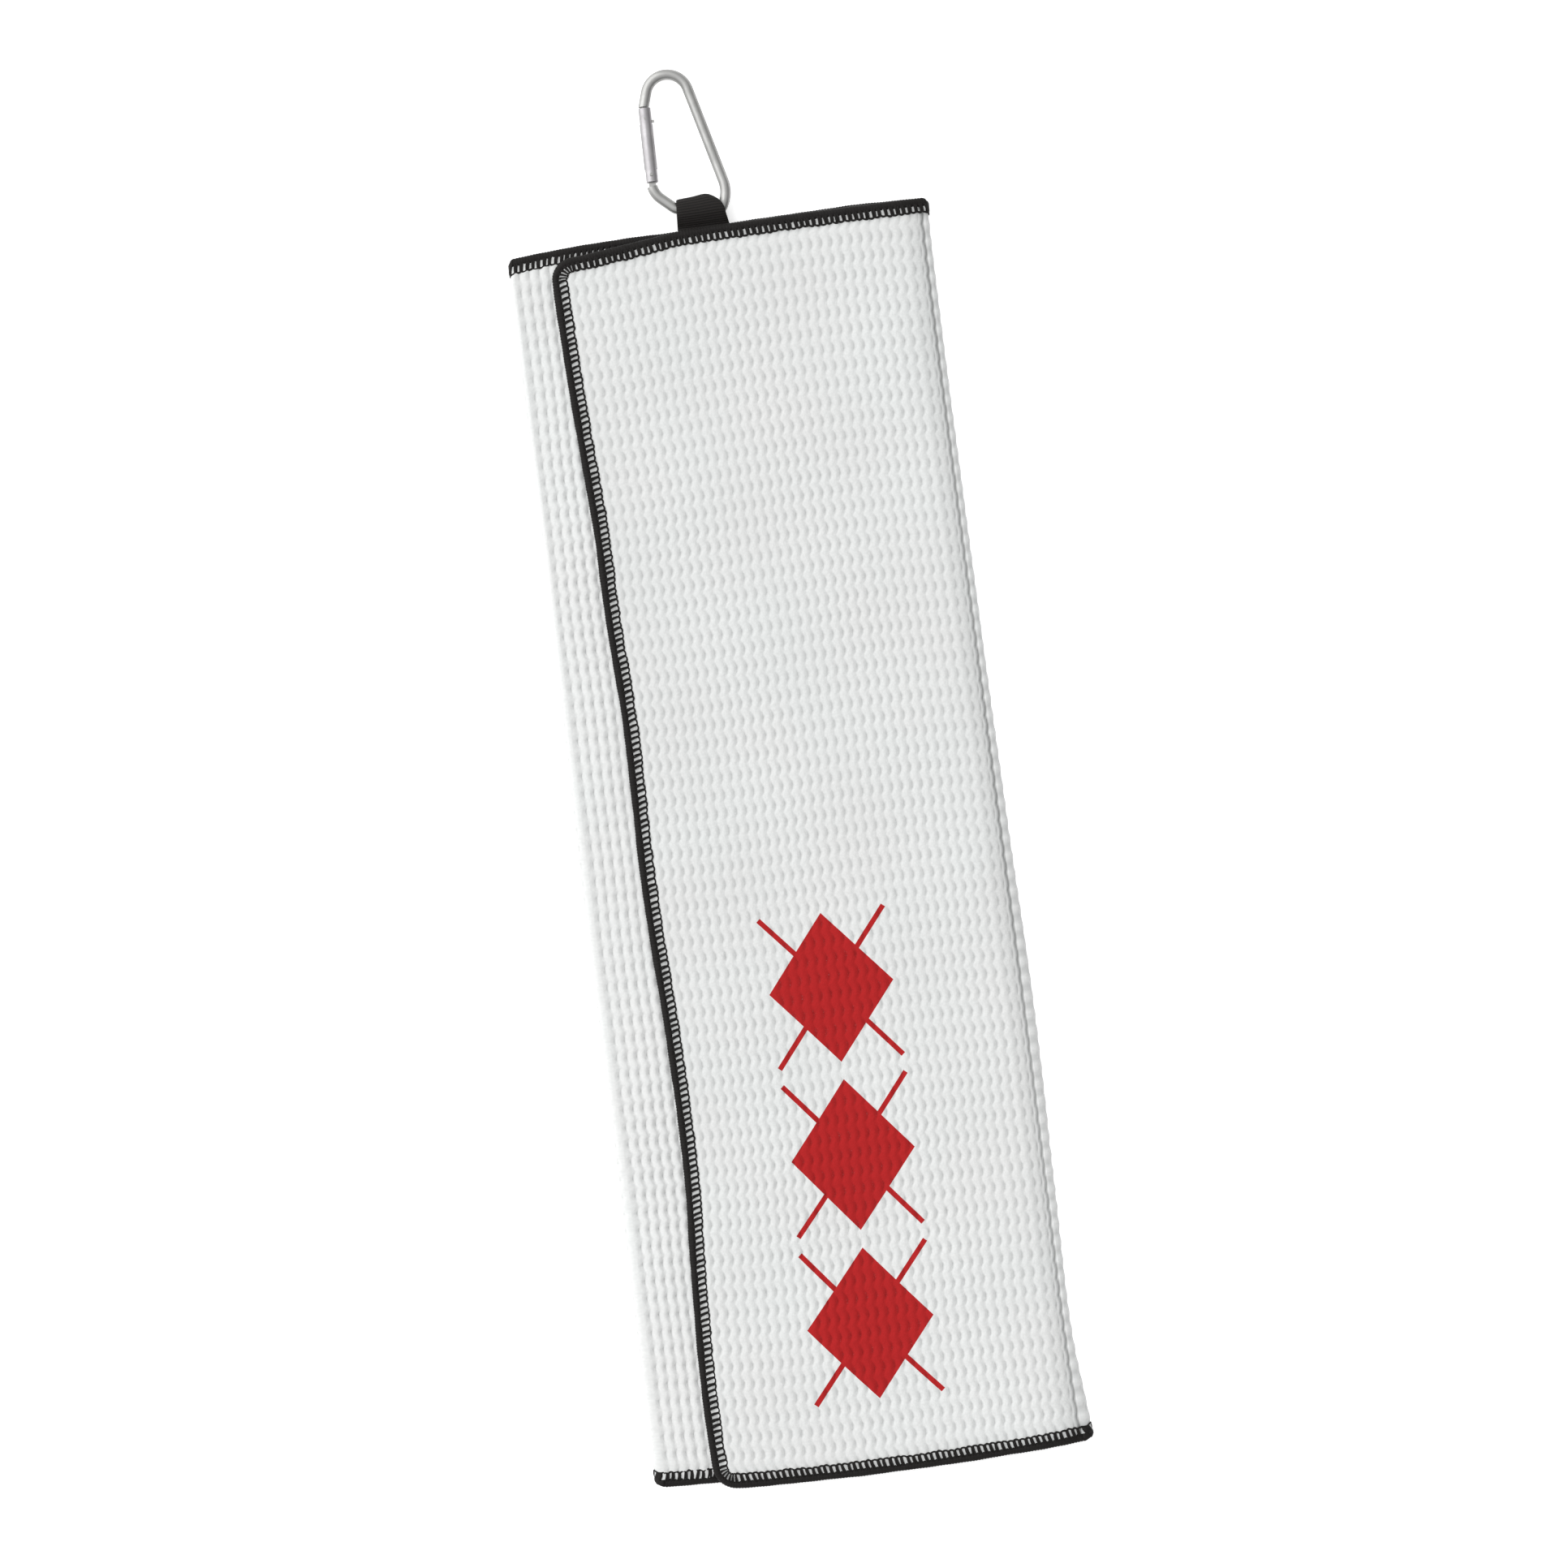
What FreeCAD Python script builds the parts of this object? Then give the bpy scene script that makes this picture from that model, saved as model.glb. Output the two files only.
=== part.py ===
"""Golf towel folded in three, with a webbing loop and a gated snap hook.

The towel lies flat: X across the fold, Y along the towel towards the hook, Z up.
The origin is the middle of the towel's underside. All sizes are in millimetres.
The cloth is folded like an accordion: back panel, left fold, middle panel, right
fold, front panel. The middle panel carries the loop, and the loop holds the hook.
"""
import FreeCAD, Part
import math
import os

os.makedirs("parts", exist_ok=True)

# ---- driving dimensions: the cloth ------------------------------------------
TOWEL_LENGTH = 436.0
CLOTH_THICKNESS = 2.4
LAYER_GAP = 0.3
BORDER_WIDTH = 5.2          # overlocked thread along the cut edges
CORNER_RADIUS = 7.5
LEFT_FOLD_X = -72.4         # where the flat layers end and the fold begins
RIGHT_FOLD_X = 72.0
FRONT_EDGE_X = -55.5        # free edge of the front panel
BACK_EDGE_X = 66.0          # free edge of the back panel, hidden inside the fold
FRONT_TOP_DROP = 1.2        # the front panel ends this much lower than the others

# ---- driving dimensions: the webbing loop -----------------------------------
WEBBING_WIDTH = 18.2
WEBBING_THICKNESS = 0.9
WEBBING_CENTRE_X = -4.6
TAIL_LENGTH = 14.0          # sewn part of the webbing, on both faces of the cloth
TAIL_CLOTH = 0.6            # cloth squeezed between the two sewn ends
EYE_RADIUS = 3.4            # inside of the loop's round end
EYE_FLAT = 1.8              # straight stretch between the two rounds of the eye
EYE_CENTRE_RISE = 0.4       # the eye bulges more upwards than downwards
LOOP_TOP_Y = 228.2          # outside of the loop's far end
CORNER_START_X = -2.2       # the loop's right corner slopes down from here
CORNER_END_Y = 222.4        # to this height at the webbing's right edge
SEAM_THREAD = 0.6
SEAM_HEIGHT = 0.14
SEAM_INSET = 2.0

# ---- driving dimensions: the printed pattern --------------------------------
PRINT_HEIGHT = 0.1
PRINT_CENTRE = (5.0, -108.0)
LOZENGE_HALF = (22.0, 26.0)
LOZENGE_PITCH = 58.0
LOZENGE_COUNT = 3
LINE_WIDTH = 1.8

# ---- driving dimensions: the snap hook --------------------------------------
WIRE_RADIUS = 1.8
WIRE_START = (-20.55, 233.2)
WIRE_START_HEADING = -80.0
# straight length, then bend radius and angle, from the hinge end to the nose
WIRE_BENDS = [
    (0.0, 8.0, 38.0),
    (4.9, 4.0, 28.6),
    (11.5, 4.0, 73.4),
    (0.0, 11.6, 44.0),
    (34.3, 7.45, 149.0),
]
NOSE_LENGTH = 7.5
GATE_RADIUS = 2.2
GATE_LENGTH = 26.0
GATE_BOTTOM = (-20.3, 234.6)
GATE_LEAN = 1.0             # degrees, the gate leans towards the spine at its top
GATE_GAP = 0.4              # between the gate's free end and the nose
BORE_RADIUS = 1.5
LOWER_BORE_DEPTH = 16.5
UPPER_BORE_DEPTH = 7.0
PIVOT_HEIGHT = 2.6          # above the gate's lower end
PIVOT_RADIUS = 0.6
RUNNING_CLEARANCE = 0.04
RIVET_HEAD_RADIUS = 1.0
RIVET_HEAD_HEIGHT = 0.2
LUG_THICKNESS = 1.5
LUG_HALF_WIDTH = 1.2
LUG_TOP = 1.3               # flat end of the lug, above the pivot
LOWER_SLOT = 1.8
LOWER_SLOT_TOP = 2.0        # above the pivot
TONGUE_THICKNESS = 1.2
TONGUE_LEFT = 1.5
TONGUE_LENGTH = 5.2         # below the gate's upper end
TONGUE_LIP = 2.9            # the hook's lip, seen beside the gate
LIP_HEIGHT = 0.8
UPPER_SLOT = 1.5
UPPER_SLOT_DEPTH = 5.8
LATCH_DROP = 3.8            # latch pin below the gate's upper end
LATCH_RADIUS = 0.45
LATCH_STICK_OUT = 0.15
NOTCH_CLEARANCE = 0.15
PLUNGER_RADIUS = 1.4
PLUNGER_STEM_RADIUS = 0.7
PLUNGER_HEAD_LENGTH = 1.6
PLUNGER_LENGTH = 3.4
PLUNGER_CLEARANCE = 0.1
SPRING_WIRE_RADIUS = 0.17
SPRING_RADIUS = 1.12
SPRING_TURNS = 10

# ---- worked out from the above ----------------------------------------------
HALF_LENGTH = TOWEL_LENGTH / 2
LAYER_PITCH = CLOTH_THICKNESS + LAYER_GAP
BACK_Z = CLOTH_THICKNESS / 2
MIDDLE_Z = BACK_Z + LAYER_PITCH
FRONT_Z = MIDDLE_Z + LAYER_PITCH
HOOK_Z = MIDDLE_Z
FRONT_TOP_Y = HALF_LENGTH - FRONT_TOP_DROP
PIVOT_ABOVE_TOP = GATE_LENGTH - PIVOT_HEIGHT
Z_AXIS = FreeCAD.Vector(0, 0, 1)


def save(name, shape):
    """Writes one named piece and says its volume."""
    assert shape.isValid(), name
    shape.exportStep("parts/" + name + ".step")
    print(name, "solids", len(shape.Solids), "volume", round(shape.Volume, 2))


def box(x0, x1, y0, y1, z0, z1):
    """A box between two corners."""
    corner = FreeCAD.Vector(x0, y0, z0)
    return Part.makeBox(x1 - x0, y1 - y0, z1 - z0, corner)


def round_corners(plate, x_edge, radius):
    """Rounds the upright edges of a plate that stand at x_edge."""
    upright = []
    for edge in plate.Edges:
        ends = [v.Point for v in edge.Vertexes]
        stands = abs(ends[0].z - ends[1].z) > CLOTH_THICKNESS / 2
        if stands and abs(ends[0].x - x_edge) < 1e-6:
            upright.append(edge)
    return plate.makeFillet(radius, upright)


def cloth_and_border(x0, x1, y0, y1, z_mid, free_edge):
    """One layer: the cloth, and the thread along its top, bottom and free edge.

    free_edge is x0 or x1 where that side is cut, or None where both sides fold.
    """
    z0 = z_mid - CLOTH_THICKNESS / 2
    z1 = z_mid + CLOTH_THICKNESS / 2
    inner_x0 = x0 + BORDER_WIDTH if free_edge == x0 else x0
    inner_x1 = x1 - BORDER_WIDTH if free_edge == x1 else x1
    whole = box(x0, x1, y0, y1, z0, z1)
    cloth = box(inner_x0, inner_x1, y0 + BORDER_WIDTH, y1 - BORDER_WIDTH, z0, z1)
    if free_edge is not None:
        whole = round_corners(whole, free_edge, CORNER_RADIUS)
        inner_edge = inner_x0 if free_edge == x0 else inner_x1
        cloth = round_corners(cloth, inner_edge, CORNER_RADIUS - BORDER_WIDTH)
    return cloth, whole.cut(cloth)


def fold_ring(x, z_centre, side, y0, y1):
    """Half a tube of cloth that joins two layers. side is -1 or 1 along X."""
    outer = LAYER_PITCH / 2 + CLOTH_THICKNESS / 2
    inner = LAYER_PITCH / 2 - CLOTH_THICKNESS / 2
    start = FreeCAD.Vector(x, y0, z_centre)
    along = FreeCAD.Vector(0, 1, 0)
    length = y1 - y0
    tube = Part.makeCylinder(outer, length, start, along)
    hollow = Part.makeCylinder(inner, length, start, along)
    half_x0 = x if side > 0 else x - outer
    half = box(half_x0, half_x0 + outer, y0, y1, z_centre - outer, z_centre + outer)
    return tube.cut(hollow).common(half)


def fold_pieces(name, x, z_centre, side):
    """The cloth of one fold and the thread along its two ends."""
    y0 = -HALF_LENGTH
    y1 = HALF_LENGTH
    cloth = fold_ring(x, z_centre, side, y0 + BORDER_WIDTH, y1 - BORDER_WIDTH)
    bottom = fold_ring(x, z_centre, side, y0, y0 + BORDER_WIDTH)
    top = fold_ring(x, z_centre, side, y1 - BORDER_WIDTH, y1)
    save(name, cloth)
    save(name + "_edging", Part.makeCompound([bottom, top]))


def tail_plates():
    """The two sewn ends of the webbing, on the upper and lower face of the cloth."""
    x0 = WEBBING_CENTRE_X - WEBBING_WIDTH / 2
    x1 = WEBBING_CENTRE_X + WEBBING_WIDTH / 2
    y0 = HALF_LENGTH - TAIL_LENGTH
    plates = []
    for side in (-1, 1):
        near = MIDDLE_Z + side * TAIL_CLOTH / 2
        far = MIDDLE_Z + side * CLOTH_THICKNESS / 2
        plates.append(box(x0, x1, y0, HALF_LENGTH, min(near, far), max(near, far)))
    return plates


def cross_seam():
    """A sewn rectangle with a cross in it, on both faces of the webbing's tail."""
    x0 = WEBBING_CENTRE_X - WEBBING_WIDTH / 2 + SEAM_INSET
    x1 = WEBBING_CENTRE_X + WEBBING_WIDTH / 2 - SEAM_INSET
    y0 = HALF_LENGTH - TAIL_LENGTH + SEAM_INSET
    y1 = HALF_LENGTH - SEAM_INSET
    corners = [(x0, y0), (x1, y0), (x1, y1), (x0, y1)]
    runs = [(corners[i], corners[(i + 1) % 4]) for i in range(4)]
    runs += [(corners[0], corners[2]), (corners[1], corners[3])]
    solids = []
    for side in (-1, 1):
        face_z = MIDDLE_Z + side * CLOTH_THICKNESS / 2
        z0 = min(face_z, face_z + side * SEAM_HEIGHT)
        seam = None
        for start, end in runs:
            line = thick_line(start, end, SEAM_THREAD, z0, SEAM_HEIGHT)
            seam = line if seam is None else seam.fuse(line)
        solids.append(seam.removeSplitter())
    return Part.makeCompound(solids)


def thick_line(start, end, width, z0, height):
    """A straight bar of a given width between two points, lying at z0."""
    dx = end[0] - start[0]
    dy = end[1] - start[1]
    length = math.hypot(dx, dy)
    bar = Part.makeBox(length + width, width, height)
    bar.translate(FreeCAD.Vector(-width / 2, -width / 2, 0))
    bar.rotate(FreeCAD.Vector(0, 0, 0), Z_AXIS, math.degrees(math.atan2(dy, dx)))
    bar.translate(FreeCAD.Vector(start[0], start[1], z0))
    return bar


def loop_section(radius, base_half):
    """The eye's side profile: it flares out from the cloth's edge to a round end."""
    middle = MIDDLE_Z + EYE_CENTRE_RISE
    far_y = LOOP_TOP_Y - EYE_RADIUS - WEBBING_THICKNESS
    near_y = far_y - EYE_FLAT

    def spot(y, z):
        return FreeCAD.Vector(WEBBING_CENTRE_X - WEBBING_WIDTH / 2, y, z)

    low = [spot(far_y, middle - radius), spot(near_y, middle - radius),
           spot(HALF_LENGTH, MIDDLE_Z - base_half)]
    high = [spot(HALF_LENGTH, MIDDLE_Z + base_half), spot(near_y, middle + radius),
            spot(far_y, middle + radius)]
    round_end = Part.Arc(high[-1], spot(far_y + radius, middle), low[0]).toShape()
    sides = Part.makePolygon(low + high).Edges
    face = Part.Face(Part.Wire(sides + [round_end]))
    return face.extrude(FreeCAD.Vector(WEBBING_WIDTH, 0, 0))


def webbing_loop():
    """The part of the webbing that stands out beyond the towel's edge."""
    outside = loop_section(EYE_RADIUS + WEBBING_THICKNESS, CLOTH_THICKNESS / 2)
    inside = loop_section(EYE_RADIUS, TAIL_CLOTH / 2)
    right_x = WEBBING_CENTRE_X + WEBBING_WIDTH / 2
    past = WEBBING_THICKNESS
    corner = [
        FreeCAD.Vector(CORNER_START_X, LOOP_TOP_Y, -past),
        FreeCAD.Vector(CORNER_START_X, LOOP_TOP_Y + past, -past),
        FreeCAD.Vector(right_x + past, LOOP_TOP_Y + past, -past),
        FreeCAD.Vector(right_x + past, CORNER_END_Y, -past),
        FreeCAD.Vector(right_x, CORNER_END_Y, -past),
    ]
    face = Part.Face(Part.makePolygon(corner + corner[:1]))
    waste = face.extrude(FreeCAD.Vector(0, 0, 4 * EYE_RADIUS))
    return outside.cut(inside).cut(waste)


def printed_lozenges():
    """A column of lozenges crossed by thin lines, as a film on the front panel."""
    z0 = FRONT_Z + CLOTH_THICKNESS / 2
    half_x, half_y = LOZENGE_HALF
    film = None
    for i in range(LOZENGE_COUNT):
        cx = PRINT_CENTRE[0]
        cy = PRINT_CENTRE[1] + (i - (LOZENGE_COUNT - 1) / 2) * LOZENGE_PITCH
        tips = [(cx - half_x, cy), (cx, cy - half_y), (cx + half_x, cy), (cx, cy + half_y)]
        outline = [FreeCAD.Vector(x, y, z0) for x, y in tips]
        face = Part.Face(Part.makePolygon(outline + outline[:1]))
        pieces = [face.extrude(FreeCAD.Vector(0, 0, PRINT_HEIGHT))]
        for side in (-1, 1):
            start = (cx - half_x, cy - side * half_y)
            end = (cx + half_x, cy + side * half_y)
            pieces.append(thick_line(start, end, LINE_WIDTH, z0, PRINT_HEIGHT))
        for piece in pieces:
            film = piece if film is None else film.fuse(piece)
    return film.removeSplitter()


def gate_point(across, along, z=0.0):
    """A point given from the gate's lower end: across to the spine, along the gate."""
    lean = math.radians(GATE_LEAN)
    x = GATE_BOTTOM[0] + across * math.cos(lean) + along * math.sin(lean)
    y = GATE_BOTTOM[1] - across * math.sin(lean) + along * math.cos(lean)
    return FreeCAD.Vector(x, y, HOOK_Z + z)


def gate_placed(shape):
    """Moves a shape made with the gate along +Y from the origin to its real place."""
    moved = shape.copy()
    moved.rotate(FreeCAD.Vector(0, 0, 0), Z_AXIS, -GATE_LEAN)
    moved.translate(gate_point(0, 0))
    return moved


def wire_path():
    """The bent line of the hook's wire, as edges, from the hinge end to the nose."""
    x, y = WIRE_START
    heading = math.radians(WIRE_START_HEADING)
    edges = []
    for straight, radius, angle in WIRE_BENDS:
        if straight > 0:
            ahead = (x + straight * math.cos(heading), y + straight * math.sin(heading))
            edges.append(Part.makeLine(FreeCAD.Vector(x, y, HOOK_Z),
                                       FreeCAD.Vector(ahead[0], ahead[1], HOOK_Z)))
            x, y = ahead
        centre = (x - radius * math.sin(heading), y + radius * math.cos(heading))
        stops = []
        for share in (0.0, 0.5, 1.0):
            at = heading + math.radians(angle) * share
            stops.append(FreeCAD.Vector(centre[0] + radius * math.sin(at),
                                        centre[1] - radius * math.cos(at), HOOK_Z))
        edges.append(Part.Arc(*stops).toShape())
        x, y = stops[-1].x, stops[-1].y
        heading += math.radians(angle)
    end = FreeCAD.Vector(x + NOSE_LENGTH * math.cos(heading),
                         y + NOSE_LENGTH * math.sin(heading), HOOK_Z)
    edges.append(Part.makeLine(FreeCAD.Vector(x, y, HOOK_Z), end))
    print("nose ends at", round(end.x, 2), round(end.y, 2))
    return edges


def bent_wire():
    """The hook's round wire, cut square to the gate at the nose."""
    edges = wire_path()
    path = Part.Wire(edges)
    heading = math.radians(WIRE_START_HEADING)
    direction = FreeCAD.Vector(math.cos(heading), math.sin(heading), 0)
    start = FreeCAD.Vector(WIRE_START[0], WIRE_START[1], HOOK_Z)
    circle = Part.Wire(Part.Circle(start, direction, WIRE_RADIUS).toShape())
    wire = path.makePipeShell([circle], True, False)
    reach = 4 * WIRE_RADIUS
    nose_line = GATE_LENGTH + GATE_GAP
    waste = box(-reach, reach, nose_line - reach, nose_line, -reach, reach)
    return wire.cut(gate_placed(waste))


def hinge_lug():
    """The flattened end of the wire that turns on the pivot, inside the gate."""
    low = WIRE_START[1] - GATE_BOTTOM[1] - WIRE_RADIUS
    high = PIVOT_HEIGHT + LUG_TOP
    half = LUG_THICKNESS / 2
    blade = box(-LUG_HALF_WIDTH, LUG_HALF_WIDTH, low, high, -half, half)
    hole = Part.makeCylinder(PIVOT_RADIUS + RUNNING_CLEARANCE, LUG_THICKNESS,
                             FreeCAD.Vector(0, PIVOT_HEIGHT, -half))
    return gate_placed(blade.cut(hole))


def nose_tongue():
    """The flat hooked tip of the nose that the latch pin drops into."""
    top = GATE_LENGTH + GATE_GAP + WIRE_RADIUS
    bottom = GATE_LENGTH - TONGUE_LENGTH
    latch = GATE_LENGTH - LATCH_DROP
    half = TONGUE_THICKNESS / 2
    notch = LATCH_RADIUS + NOTCH_CLEARANCE
    blade = box(-TONGUE_LEFT, TONGUE_LEFT, bottom, top, -half, half)
    lip = box(0, TONGUE_LIP, bottom, bottom + LIP_HEIGHT, -half, half)
    slot = box(0, TONGUE_LIP, latch - notch, latch + notch, -half, half)
    seat = Part.makeCylinder(notch, TONGUE_THICKNESS, FreeCAD.Vector(0, latch, -half))
    return gate_placed(blade.fuse(lip).cut(slot).cut(seat))


def hook_frame():
    """The bent wire with its hinge lug and its hooked nose, as one solid."""
    frame = bent_wire().fuse(hinge_lug()).fuse(nose_tongue())
    return frame.removeSplitter()


def gate_tube():
    """The gate: a turned rod, bored and slotted from both ends."""
    along = FreeCAD.Vector(0, 1, 0)
    start = FreeCAD.Vector(0, 0, 0)
    tube = Part.makeCylinder(GATE_RADIUS, GATE_LENGTH, start, along)
    tube = tube.makeChamfer(0.25, [e for e in tube.Edges if len(e.Vertexes) == 1])
    upper_start = FreeCAD.Vector(0, GATE_LENGTH - UPPER_BORE_DEPTH, 0)
    reach = 2 * GATE_RADIUS
    slot_top = PIVOT_HEIGHT + LOWER_SLOT_TOP
    cutters = [
        Part.makeCylinder(BORE_RADIUS, LOWER_BORE_DEPTH, start, along),
        Part.makeCylinder(BORE_RADIUS, UPPER_BORE_DEPTH, upper_start, along),
        box(-reach, reach, 0, slot_top, -LOWER_SLOT / 2, LOWER_SLOT / 2),
        box(-reach, reach, GATE_LENGTH - UPPER_SLOT_DEPTH, GATE_LENGTH,
            -UPPER_SLOT / 2, UPPER_SLOT / 2),
        cross_pin(PIVOT_RADIUS, PIVOT_HEIGHT, 0),
        cross_pin(LATCH_RADIUS, GATE_LENGTH - LATCH_DROP, 0),
    ]
    for cutter in cutters:
        tube = tube.cut(cutter)
    return gate_placed(tube)


def cross_pin(radius, height, stick_out):
    """A pin through the gate along Z, at a height above the gate's lower end."""
    half = GATE_RADIUS + stick_out
    return Part.makeCylinder(radius, 2 * half, FreeCAD.Vector(0, height, -half))


def pivot_rivet():
    """The rivet that the gate turns on, with a low head at each end."""
    rivet = cross_pin(PIVOT_RADIUS, PIVOT_HEIGHT, RIVET_HEAD_HEIGHT)
    rivet = rivet.makeChamfer(0.12, [e for e in rivet.Edges if len(e.Vertexes) == 1])
    return gate_placed(rivet)


def latch_pin():
    """The pin across the gate's free end that drops into the nose."""
    pin = cross_pin(LATCH_RADIUS, GATE_LENGTH - LATCH_DROP, LATCH_STICK_OUT)
    return gate_placed(pin)


def plunger():
    """The small stepped plunger that presses on the lug's flat end."""
    along = FreeCAD.Vector(0, 1, 0)
    seat = PIVOT_HEIGHT + LUG_TOP + PLUNGER_CLEARANCE
    start = FreeCAD.Vector(0, seat, 0)
    head = Part.makeCylinder(PLUNGER_RADIUS, PLUNGER_HEAD_LENGTH, start, along)
    stem = Part.makeCylinder(PLUNGER_STEM_RADIUS, PLUNGER_LENGTH, start, along)
    return gate_placed(head.fuse(stem).removeSplitter())


def return_spring():
    """The coil spring between the plunger's shoulder and the end of the bore."""
    low = PIVOT_HEIGHT + LUG_TOP + PLUNGER_CLEARANCE + PLUNGER_HEAD_LENGTH
    low += SPRING_WIRE_RADIUS
    high = LOWER_BORE_DEPTH - SPRING_WIRE_RADIUS
    pitch = (high - low) / SPRING_TURNS
    helix = Part.makeHelix(pitch, high - low, SPRING_RADIUS)
    start = FreeCAD.Vector(SPRING_RADIUS, 0, 0)
    rise = pitch / (2 * math.pi * SPRING_RADIUS)
    direction = FreeCAD.Vector(0, 1, rise)
    circle = Part.Wire(Part.Circle(start, direction, SPRING_WIRE_RADIUS).toShape())
    coil = Part.Wire(helix).makePipeShell([circle], True, True)
    coil.rotate(FreeCAD.Vector(0, 0, 0), FreeCAD.Vector(1, 0, 0), -90)
    coil.translate(FreeCAD.Vector(0, low, 0))
    return gate_placed(coil)


def make_cloth():
    """The three panels with their edging, and the two folds between them."""
    low = -HALF_LENGTH
    cloth, edging = cloth_and_border(
        LEFT_FOLD_X, BACK_EDGE_X, low, HALF_LENGTH, BACK_Z, BACK_EDGE_X)
    save("back_panel", cloth)
    save("back_panel_edging", edging)
    cloth, edging = cloth_and_border(
        LEFT_FOLD_X, RIGHT_FOLD_X, low, HALF_LENGTH, MIDDLE_Z, None)
    for plate in tail_plates():
        cloth = cloth.cut(plate)
        edging = edging.cut(plate)
    save("middle_panel", cloth)
    save("middle_panel_edging", edging)
    cloth, edging = cloth_and_border(
        FRONT_EDGE_X, RIGHT_FOLD_X, low, FRONT_TOP_Y, FRONT_Z, FRONT_EDGE_X)
    save("front_panel", cloth)
    save("front_panel_edging", edging)
    fold_pieces("left_fold", LEFT_FOLD_X, (BACK_Z + MIDDLE_Z) / 2, -1)
    fold_pieces("right_fold", RIGHT_FOLD_X, (MIDDLE_Z + FRONT_Z) / 2, 1)
    save("printed_pattern", printed_lozenges())


def make_webbing():
    """The webbing's sewn ends, their seam and the free loop."""
    save("webbing_tail", Part.makeCompound(tail_plates()))
    save("webbing_seam", cross_seam())
    save("webbing_loop", webbing_loop())


def make_hook():
    """The snap hook: wire frame, gate and what the gate holds."""
    save("hook_frame", hook_frame())
    save("gate", gate_tube())
    save("pivot_rivet", pivot_rivet())
    save("latch_pin", latch_pin())
    save("gate_plunger", plunger())
    save("gate_spring", return_spring())
    pivot = gate_point(0, PIVOT_HEIGHT)
    print("gate pivot at", round(pivot.x, 3), round(pivot.y, 3), round(pivot.z, 3))


make_cloth()
make_webbing()
make_hook()
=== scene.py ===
"""A ribbed golf towel folded in three, with its overlocked edges, webbing loop and spring-gate hook.

Flat cloth is described by u (along the folded width, from the front panel's free edge round both folds to
the back panel's free edge), v (along the towel's length) and h (out of the cloth's middle surface).
Lengths here are in millimetres and become metres when a mesh is made.
"""
import math

import bmesh
import bpy
import numpy as np
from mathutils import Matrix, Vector


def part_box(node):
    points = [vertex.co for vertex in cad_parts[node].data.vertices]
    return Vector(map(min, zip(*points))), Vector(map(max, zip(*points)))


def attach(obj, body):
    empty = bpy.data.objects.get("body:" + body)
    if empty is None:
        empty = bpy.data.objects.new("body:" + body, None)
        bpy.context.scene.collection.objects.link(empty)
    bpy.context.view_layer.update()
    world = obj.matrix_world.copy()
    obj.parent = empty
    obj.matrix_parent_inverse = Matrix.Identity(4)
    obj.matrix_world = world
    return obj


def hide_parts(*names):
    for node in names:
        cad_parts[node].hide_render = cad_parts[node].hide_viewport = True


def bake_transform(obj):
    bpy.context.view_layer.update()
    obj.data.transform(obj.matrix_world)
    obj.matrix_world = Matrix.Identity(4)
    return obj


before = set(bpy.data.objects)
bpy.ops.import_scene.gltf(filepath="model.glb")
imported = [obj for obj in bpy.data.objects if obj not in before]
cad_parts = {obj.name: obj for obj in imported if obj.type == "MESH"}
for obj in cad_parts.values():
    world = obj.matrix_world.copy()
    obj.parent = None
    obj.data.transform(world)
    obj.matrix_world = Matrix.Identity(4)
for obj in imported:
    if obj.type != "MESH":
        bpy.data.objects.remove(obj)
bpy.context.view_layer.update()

MM = 0.001


def node_box(node):
    """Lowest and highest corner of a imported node, in millimetres."""
    low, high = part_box(node)
    return [c / MM for c in low], [c / MM for c in high]


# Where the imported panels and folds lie.
LEFT_FOLD_X = node_box("left_fold")[1][0]
RIGHT_FOLD_X = node_box("right_fold")[0][0]
FRONT_EDGE_X = node_box("front_panel_edging")[0][0]
BACK_EDGE_X = node_box("back_panel_edging")[1][0]
HALF_LENGTH = node_box("back_panel_edging")[1][1]
BACK_Z = (node_box("back_panel")[0][2] + node_box("back_panel")[1][2]) / 2
MIDDLE_Z = (node_box("middle_panel")[0][2] + node_box("middle_panel")[1][2]) / 2
FRONT_Z = (node_box("front_panel")[0][2] + node_box("front_panel")[1][2]) / 2
TAIL_LOW, TAIL_HIGH = node_box("webbing_tail")
LOOP_TOP_Y = node_box("webbing_loop")[1][1]
SEAM_LOW, SEAM_HIGH = node_box("webbing_seam")

# The folded line of the cloth: front panel, right fold, middle panel, left fold, back panel.
FOLD_RADIUS = (MIDDLE_Z - BACK_Z) / 2
FOLD_LENGTH = math.pi * FOLD_RADIUS
FRONT_END = RIGHT_FOLD_X - FRONT_EDGE_X
MIDDLE_START = FRONT_END + FOLD_LENGTH
MIDDLE_END = MIDDLE_START + RIGHT_FOLD_X - LEFT_FOLD_X
BACK_START = MIDDLE_END + FOLD_LENGTH
BACK_END = BACK_START + BACK_EDGE_X - LEFT_FOLD_X
FRONT_SAG_START = 65.0  # the x from which the front panel sinks to the right fold's upper turn
MIDDLE_SAG_START = 64.0  # the same for the middle panel and the lower turn

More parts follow.
